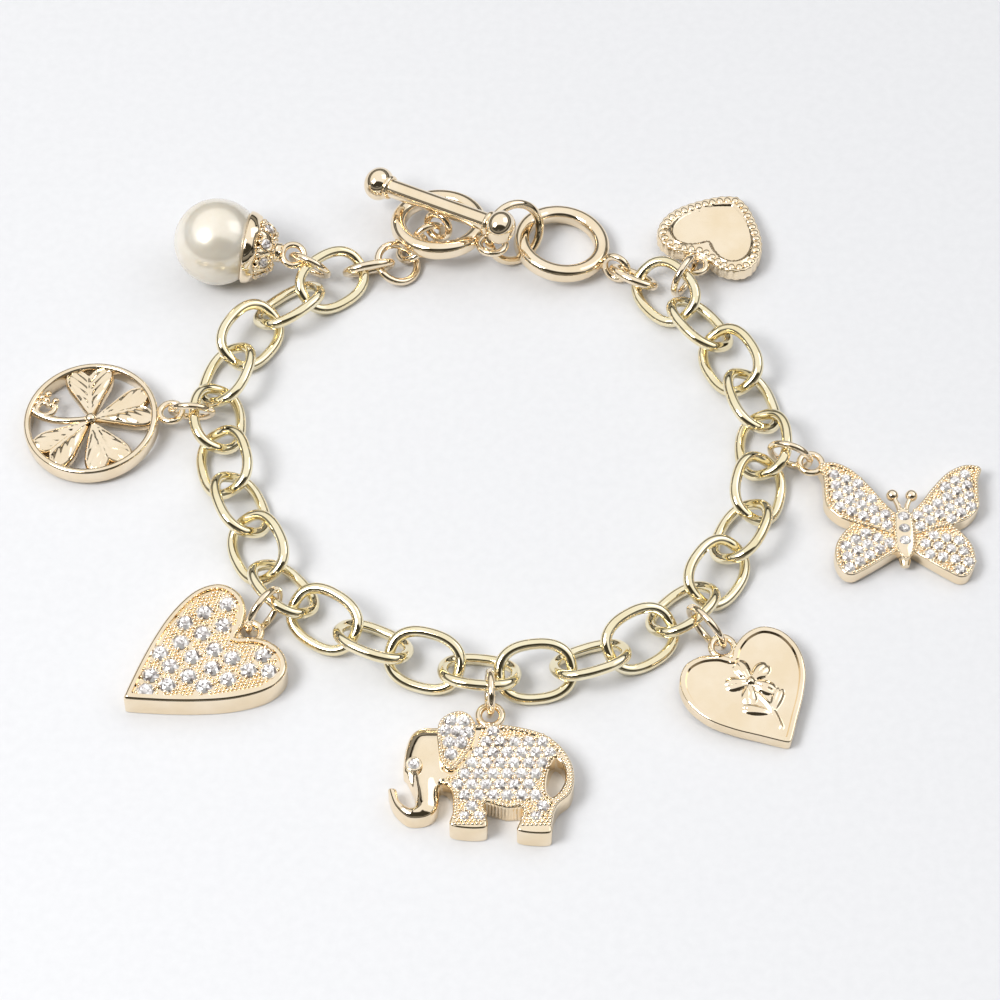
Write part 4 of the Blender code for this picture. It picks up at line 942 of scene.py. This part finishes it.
def plain_heart():
    node = "plain_heart_charm"
    width, length, height = 12.8, 11.7, 1.9
    line = mirrored(PLAIN_HALF, width, length, 0.12, 0.1)
    pose = flat_frame(node, -116.7, 5.0, (0.0, 1.0), TIP_AT_ORIGIN)
    run = np.arange(len(line)) / len(line)
    beads = 38
    flute = 0.11 * (1 - np.abs(np.cos(math.pi * beads * run)))
    outline = line + inward(line) * flute[:, None]
    inner = mirrored([(x / width * 2, y / length) for x, y in PLAIN_FIELD], width, length, 0.15, 0.0)

    def top(points, edge):
        depth = edge_distance(points, inner) * np.where(within(points, inner), 1.0, -1.0)
        dish = 0.3 * ramp(depth, -0.02, 0.34)
        ridge = 0.10 * np.exp(-((depth + 0.16) / 0.13) ** 2)
        groove = 0.16 * np.exp(-((edge - 0.72) / 0.36) ** 2)
        return height - 0.16 - rounded(edge, 0.2) + ridge - groove - dish

    steps = [inset(inner, distance) for distance in (-0.3, -0.16, 0.1, 0.22, 0.34)] + [inner]
    body = slab(outline, top, (0.05, 0.12, 0.2, 0.45, 0.75, 1.0), 0.3, lines=steps)
    ring = along_loop(inset(line, 0.72), 0.95)
    following = np.roll(ring, -1, 0) - np.roll(ring, 1, 0)
    turns = np.arctan2(following[:, 1], following[:, 0])
    lobe = moved(dome(0.92, 0.5, 14, 5), Matrix.Diagonal((0.93, 1.12, 1.0, 1.0)))
    lobes = scatter(lobe, raised(ring, height - 0.27), turns)
    piece("plain_heart_body", node, pose, body, lobes, charm_eye(0.0, 12.214, 1.14))


# Elephant

ELEPHANT = [
    (-0.43, 7.11), (1.94, 7.11), (4.48, 6.72), (7.01, 5.84), (8.86, 4.27), (10.02, 2.13), (10.25, 0.0),
    (9.81, -1.73), (8.63, -2.88), (8.12, -3.84), (7.78, -5.37), (7.43, -6.7),
    (4.11, -6.41), (4.36, -4.8), (4.45, -3.46), (2.78, -3.55), (0.61, -2.88),
    (0.61, -4.22), (0.45, -6.03), (-3.21, -5.75), (-3.06, -3.84), (-3.24, -1.35),
    (-4.42, -0.39), (-4.65, -2.69), (-5.23, -3.84), (-6.39, -4.41), (-8.06, -4.32), (-9.5, -2.88),
    (-10.17, -0.96), (-9.95, -0.58), (-9.28, -0.77), (-8.92, -2.12), (-7.91, -2.98), (-7.24, -2.69),
    (-7.35, -0.96), (-8.13, 0.97), (-8.56, 1.74), (-8.34, 4.27), (-7.69, 6.23), (-6.52, 7.01), (-4.83, 7.11),
]
ELEPHANT_EAR = [
    (-4.82, 6.23), (-4.32, 7.6), (-2.8, 8.49), (-1.45, 8.2), (-0.68, 7.01), (-0.67, 5.25),
    (-1.42, 3.3), (-2.42, 1.74), (-3.26, 0.97), (-4.27, 1.74), (-4.71, 3.69),
]
ELEPHANT_TAIL_HOLE = [
    (8.17, 2.71), (9.01, 1.94), (9.24, 0.19), (8.64, -1.35), (7.8, -2.12), (7.22, -1.35), (7.23, 0.19),
    (7.58, 1.55),
]


def elephant():
    node = "elephant_charm"
    height = 3.0
    outline = spline(ELEPHANT, True, 0.16)
    ear = spline(ELEPHANT_EAR, True, 0.18)
    hole = spline(ELEPHANT_TAIL_HOLE, True, 0.2)[::-1]
    pose = flat_frame(node, 90.0, 0.0, (0.262, 0.965), [("min", -10.197), ("min", -6.701), ("min", 0.0)])

    def top(points, edge):
        x, y = points[:, 0], points[:, 1]
        head = 1 - ramp(x, -4.6, -3.9)
        dome_rise = 1.05 * (1 - np.exp(-(edge / 1.25) ** 1.3))
        crease = 0.35 * np.exp(-((x + 7.55 + 0.12 * (y - 1.0)) / 0.3) ** 2) * ramp(y, -2.4, -1.0)
        crease *= 1 - ramp(y, 0.6, 1.6)
        sunk = 0.22 * ramp(edge, 0.55, 0.75) * (1 - head) * ramp(y, -5.3, -4.9)
        return height - 0.75 * head - rounded(edge, 0.36) + head * (dome_rise - crease) - sunk

    body = slab(outline, top, (0.03, 0.1, 0.2, 0.3, 0.55, 0.75), 0.3, 0.0, [hole])

    def ear_top(points, edge):
        return 3.42 - rounded(edge, 0.2) + 0.1 * ramp(edge, 0.2, 1.6) - 0.14 * ramp(edge, 0.42, 0.55)

    ear_body = slab(ear, ear_top, (0.05, 0.12, 0.2, 0.42, 0.55), 0.5, 1.6)
    wide = np.array([(-4.1, 8.0), (11.0, 8.0), (11.0, -4.75), (-4.1, -4.75)])
    places = packed_rows(outline, 1.56, 0.84, [ear, hole], lambda found: found[within(found, wide)])
    line = along_loop(inset(outline, 0.33), 0.42)
    trimmed = line[(line[:, 0] > -3.6) & (line[:, 1] > -5.0)]
    trimmed = clear_of(trimmed[~within(trimmed, ear)], places, 0.84)
    ear_line = along_loop(inset(ear, 0.24), 0.4)
    tail = along_loop(inset(hole, -0.34), 0.42)
    feet_beads = []
    for x0, x1, y in ((-3.0, 0.3, -4.72), (4.4, 7.6, -4.95)):
        for row in range(3):
            across = np.arange(x0 + 0.2 + 0.22 * (row % 2), x1, 0.48)
            feet_beads += [(x, y - 0.38 * row + 0.02 * x) for x in across]
    ear_places = np.array([
        (-3.35, 7.3), (-1.9, 7.25), (-4.0, 6.0), (-2.6, 5.9), (-1.45, 5.75), (-3.5, 4.5), (-2.2, 4.45),
        (-3.3, 3.0),
    ])
    stone_at = raised(places, height - 0.1)
    all_stones = np.concatenate([stone_at, raised(ear_places, 3.42), [(-7.38, 1.74, 3.27)]])
    stone_piece("elephant_stones_cut", node, pose, all_stones, 1.52)
    grain = hexagon_rows(outline, 0.43, 0.62, 10.0, [ear, hole])
    grain = clear_of(grain[within(grain, wide)], stone_at, 0.88)
    ear_grain = clear_of(hexagon_rows(ear, 0.43, 0.5), ear_places, 0.78)
    ribs = []
    for x in np.arange(0.95, 4.3, 0.36):
        level = np.interp(x, [0.6, 2.78, 4.45], [-2.88, -3.55, -3.46])
        rib = [(x, level + 0.02, 0.2), (x, level + 0.02, 1.4), (x, level + 0.05, 2.75)]
        ribs.append(tube(rib, 0.3, 8, False))
    bezel = moved(hoop(1.56, 0.3, 32, 10), shift(-7.38, 1.74, 3.25))
    piece("elephant_body", node, pose, body, ear_body, bezel, charm_eye(1.03, 8.565, 2.19), *ribs)
    rows = (
        (0.42, grain, height - 0.2), (0.42, prongs_round(places, 0.8, 26.0), height - 0.06),
        (0.46, trimmed, height - 0.1), (0.4, tail, height - 0.1), (0.4, ear_line, 3.36),
        (0.4, ear_grain, 3.34), (0.55, feet_beads, height - 0.12),
    )
    piece("elephant_grain", node, pose, *(bead_rows(*row) for row in rows))


# Butterfly

BUTTERFLY_LENGTH = 15.3
BUTTERFLY_SQUASH = BUTTERFLY_LENGTH / 16.2
UPPER_WING = [
    (0.6, 1.6), (2.1, 3.7), (3.7, 6.1), (5.5, 8.2), (7.3, 9.25), (8.7, 9.3), (9.45, 8.8), (9.0, 7.3),
    (8.95, 5.3), (8.8, 3.2), (7.5, 1.5), (5.6, 0.55), (3.4, -0.1), (0.6, -0.9),
]
LOWER_WING = [
    (0.6, 1.2), (3.6, 1.4), (5.4, 0.9), (7.0, -0.7), (7.9, -2.5), (8.0, -4.5), (7.3, -6.2), (6.2, -6.75),
    (4.8, -6.0), (3.0, -4.75), (1.35, -3.5), (0.6, -2.6),
]


def butterfly():
    node = "butterfly_charm"
    height = 2.0
    pose = flat_frame(node, 90.0, 2.5, (-0.805, 0.593), [("max", 9.5), ("min", -6.426), ("min", 0.0)])
    squash = (1.0, BUTTERFLY_SQUASH)
    parts, grains, stones_at = [], [], []
    for side in (-1.0, 1.0):
        upper = spline(np.array(UPPER_WING) * squash, True, 0.2) * (side, 1.0)
        lower = spline(np.array(LOWER_WING) * squash, True, 0.2) * (side, 1.0)
        for wing, level, over in ((upper, height, None), (lower, height - 0.2, upper)):
            line = wing[::-1] if side < 0 else wing

            def top(points, edge, level=level):
                return level - rounded(edge, 0.22) - 0.14 * ramp(edge, 0.5, 0.65)

            def keep(found, over=over, margin=0.66, middle=1.62):
                if over is not None:
                    found = found[~within(found, over)]
                    if margin:
                        found = found[edge_distance(found, over) > margin]
                return found[np.abs(found[:, 0]) > middle]

            parts.append(slab(line, top, (0.03, 0.1, 0.22, 0.5, 0.65), 0.8))
            places = packed_rows(line, 1.46, 0.8, (), keep)
            border = keep(along_loop(inset(line, 0.3), 0.4), margin=0.0, middle=1.0)
            grain = keep(hexagon_rows(line, 0.42, 0.58, 5.0), margin=0.0, middle=1.0)
            stones_at.append(raised(places, level - 0.02))
            grains.append(bead_rows(0.42, clear_of(grain, places, 0.82), level - 0.12))
            grains.append(bead_rows(0.42, clear_of(border, places, 0.8), level - 0.04))
            grains.append(bead_rows(0.38, prongs_round(places, 0.75, 0.0), level + 0.02))
    body_line = [(0.0, -4.5), (0.7, -3.9), (1.05, -2.4), (1.1, -0.2), (0.95, 1.5), (0.5, 2.5), (0.0, 2.8)]
    body_line = np.array(body_line + [(-x, y) for x, y in reversed(body_line[1:-1])]) * squash
    body_outline = spline(body_line, True, 0.15)

    def body_top(points, edge):
        return 2.3 - rounded(edge, 0.3) + 0.1 * ramp(edge, 0.2, 0.9)

    parts.append(slab(body_outline, body_top, (0.03, 0.1, 0.2, 0.3), 0.3, 0.6))
    parts.append(tube([(0.0, -3.4, 1.1), (0.0, -4.2, 1.0), (0.0, -4.6, 0.95)], [1.5, 1.3, 1.0], 14, False))
    stones_at.append([(0.0, share * BUTTERFLY_LENGTH, 2.28) for share in (0.085, -0.02, -0.125)])
    grains.append(bead_rows(0.36, along_loop(inset(body_outline, 0.12), 0.42), 2.15))
    for side in (-1.0, 1.0):
        stalk = [(side * 0.3, 2.0, 1.8), (side * 0.55, 3.2, 1.75), (side * 1.05, 4.4, 1.8)]
        parts.append(tube(spline(stalk, False, 0.3), 0.62, 10, False))
        parts.append(moved(sphere(1.42, columns=24, rows=14), shift(side * 1.1, 4.45, 1.8)))
    parts.append(charm_eye(-10.256, 9.011, 1.2))
    parts.append(scatter(dome(0.6), [(-8.75, 8.35, 1.75), (-9.1, 8.55, 1.5)]))
    piece("butterfly_body", node, pose, *parts)
    piece("butterfly_grain", node, pose, *grains)
    stone_piece("butterfly_stones_cut", node, pose, np.concatenate(stones_at), 1.44)


# Pearl with its cap


def pearl():
    low, high = (np.array(corner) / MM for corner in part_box("pearl_bead"))
    centre = Vector((low + high) / 2)
    radius = PEARL_DIAMETER / 2
    centre.z = radius
    ball = sphere(PEARL_DIAMETER, columns=128, rows=64)
    bead_pose = Matrix.Translation(centre)
    piece("pearl_bead_round", "pearl_bead", bead_pose, ball, finish=nacre, slot="pearl")
    droop = math.radians(PEARL_DROOP)
    heading = math.radians(PEARL_TURN)
    level = math.cos(droop)
    axis = Vector((-math.cos(heading) * level, -math.sin(heading) * level, -math.sin(droop)))
    side = axis.cross(UP).normalized()
    pose = Matrix((side, axis.cross(side), axis)).transposed().to_4x4()
    pose.translation = centre
    seat = radius + 0.08
    rim = 4.35
    foot = math.sqrt(seat ** 2 - (rim - 0.35) ** 2)
    profile = [
        (rim - 0.35, foot), (rim - 0.12, foot - 0.05), (rim, foot + 0.12), (rim - 0.03, foot + 0.45),
        (rim - 0.16, foot + 0.85), (rim - 0.38, foot + 1.2), (rim - 0.68, foot + 1.45), (3.42, foot + 1.52),
        (3.3, foot + 1.75), (3.1, foot + 2.2), (2.75, foot + 2.7), (2.1, foot + 3.3),
        (1.35, CAP_REACH - 0.75), (1.15, CAP_REACH - 0.35), (1.1, CAP_REACH), (0.0, CAP_REACH),
        (0.0, seat), (1.6, math.sqrt(seat ** 2 - 1.6 ** 2)), (3.0, math.sqrt(seat ** 2 - 9.0)),
    ]
    points, faces = turned(spline(profile, True, 0.12), 160)
    angles = np.arctan2(points[:, 1], points[:, 0])
    reach = np.hypot(points[:, 0], points[:, 1])
    up = points[:, 2]
    band = ramp(up, foot + 1.0, foot + 1.6) * (1 - ramp(up, CAP_REACH - 1.3, CAP_REACH - 0.6))
    band *= reach > 1.2
    points[:, :2] *= (1 + 0.06 * np.cos(8 * angles) * band)[:, None]
    eye_turn = shift(0.0, 0.0, CAP_REACH + 1.45) @ rotation(20.0, "Z") @ rotation(90.0, "X")
    parts = [(points, faces), eye_part(CHARM_EYE_OUTER, CHARM_EYE_WIRE, eye_turn)]
    beads = []
    for row_height, ring, count, offset in ((foot + 1.72, 3.42, 26, 0.0), (foot + 3.35, 2.15, 16, 0.5)):
        for k in range(count):
            beads.append((*polar(ring, 2 * math.pi * (k + offset) / count), row_height))
    parts.append(scatter(sphere(0.55, columns=14, rows=8), beads))
    piece("pearl_cap_scalloped", "pearl_cap", pose, *parts)
    gems, settings = [], []
    for k in range(8):
        around = rotation(math.degrees(2 * math.pi * (k + 0.5) / 8), "Z")
        lean = around @ shift(2.98, 0.0, foot + 2.5) @ rotation(58.0, "Y")
        gems.append(moved(brilliant(1.35), lean))
        settings.append(moved(hoop(1.48, 0.26, 24, 8), lean))
    piece("pearl_cap_settings", "pearl_cap", pose, *settings)
    cut_piece("pearl_cap_stones", "pearl_cap", pose, *gems)


rng = np.random.default_rng(7)
pave_heart()
clover()
medal_heart()
plain_heart()
elephant()
butterfly()
pearl()


for name, node in frame["nodes"].items():
    finish = nacre if name == "pearl_bead" else warm_gold
    for index in range(len(node.data.materials)):
        node.data.materials[index] = finish


# Floor, light and camera


def floor():
    mesh = bpy.data.meshes.new("floor")
    signs = ((-1, -1), (1, -1), (1, 1), (-1, 1))
    mesh.from_pydata([(x * FLOOR_SIZE, y * FLOOR_SIZE, 0.0) for x, y in signs], [], [(0, 1, 2, 3)])
    finish, tree, shader = new_material("floor_plain")
    clouded(tree, shader, "Base Color", FLOOR_TONES, 900.0, 3.0)
    shader.inputs["Roughness"].default_value = 0.6
    mesh.materials.append(finish)
    new_object("floor", mesh)


def area_light(name, place, size, power, colour):
    """A soft square light aimed at the middle of the bracelet."""
    light = bpy.data.lights.new(name, "AREA")
    light.size = size
    light.energy = power
    light.color = colour
    made = new_object(name, light)
    made.location = place
    made.rotation_euler = (-Vector(place)).to_track_quat("-Z", "Y").to_euler()


def world():
    """A pale room above dark strips, darker in front, for the streaks in polished metal."""
    room = bpy.data.worlds.new("studio")
    bpy.context.scene.world = room
    room.use_nodes = True
    tree = room.node_tree
    nodes, links = tree.nodes, tree.links
    place = nodes.new("ShaderNodeTexCoord")
    split = nodes.new("ShaderNodeSeparateXYZ")
    links.new(place.outputs["Generated"], split.inputs["Vector"])
    height = ramp_node(tree, split.outputs["Z"], ROOM_RISE)
    shifted = nodes.new("ShaderNodeMath")
    shifted.operation = "ADD"
    shifted.inputs[1].default_value = 1.0
    links.new(split.outputs["Y"], shifted.inputs[0])
    front = ramp_node(tree, shifted.outputs["Value"], ROOM_DEPTH)
    both = nodes.new("ShaderNodeMix")
    both.data_type = "RGBA"
    both.blend_type = "MULTIPLY"
    high = ramp_node(tree, split.outputs["Z"], ROOM_MASK)
    for source, socket in ((high, "Factor"), (height, "A"), (front, "B")):
        links.new(source.outputs["Color"], both.inputs[socket])
    links.new(both.outputs["Result"], nodes["Background"].inputs["Color"])


floor()
world()
for light in LIGHTS:
    area_light(*light)
bpy.context.scene.view_settings.view_transform = "Standard"

camera_data = bpy.data.cameras.new("camera")
camera_data.lens = LENS
camera_data.sensor_width = 36.0
camera_data.clip_start = 0.01
camera = new_object("camera", camera_data)
camera.location = CAMERA_PLACE
camera.rotation_euler = (CAMERA_AIM - CAMERA_PLACE).to_track_quat("-Z", "Y").to_euler()
bpy.context.scene.camera = camera
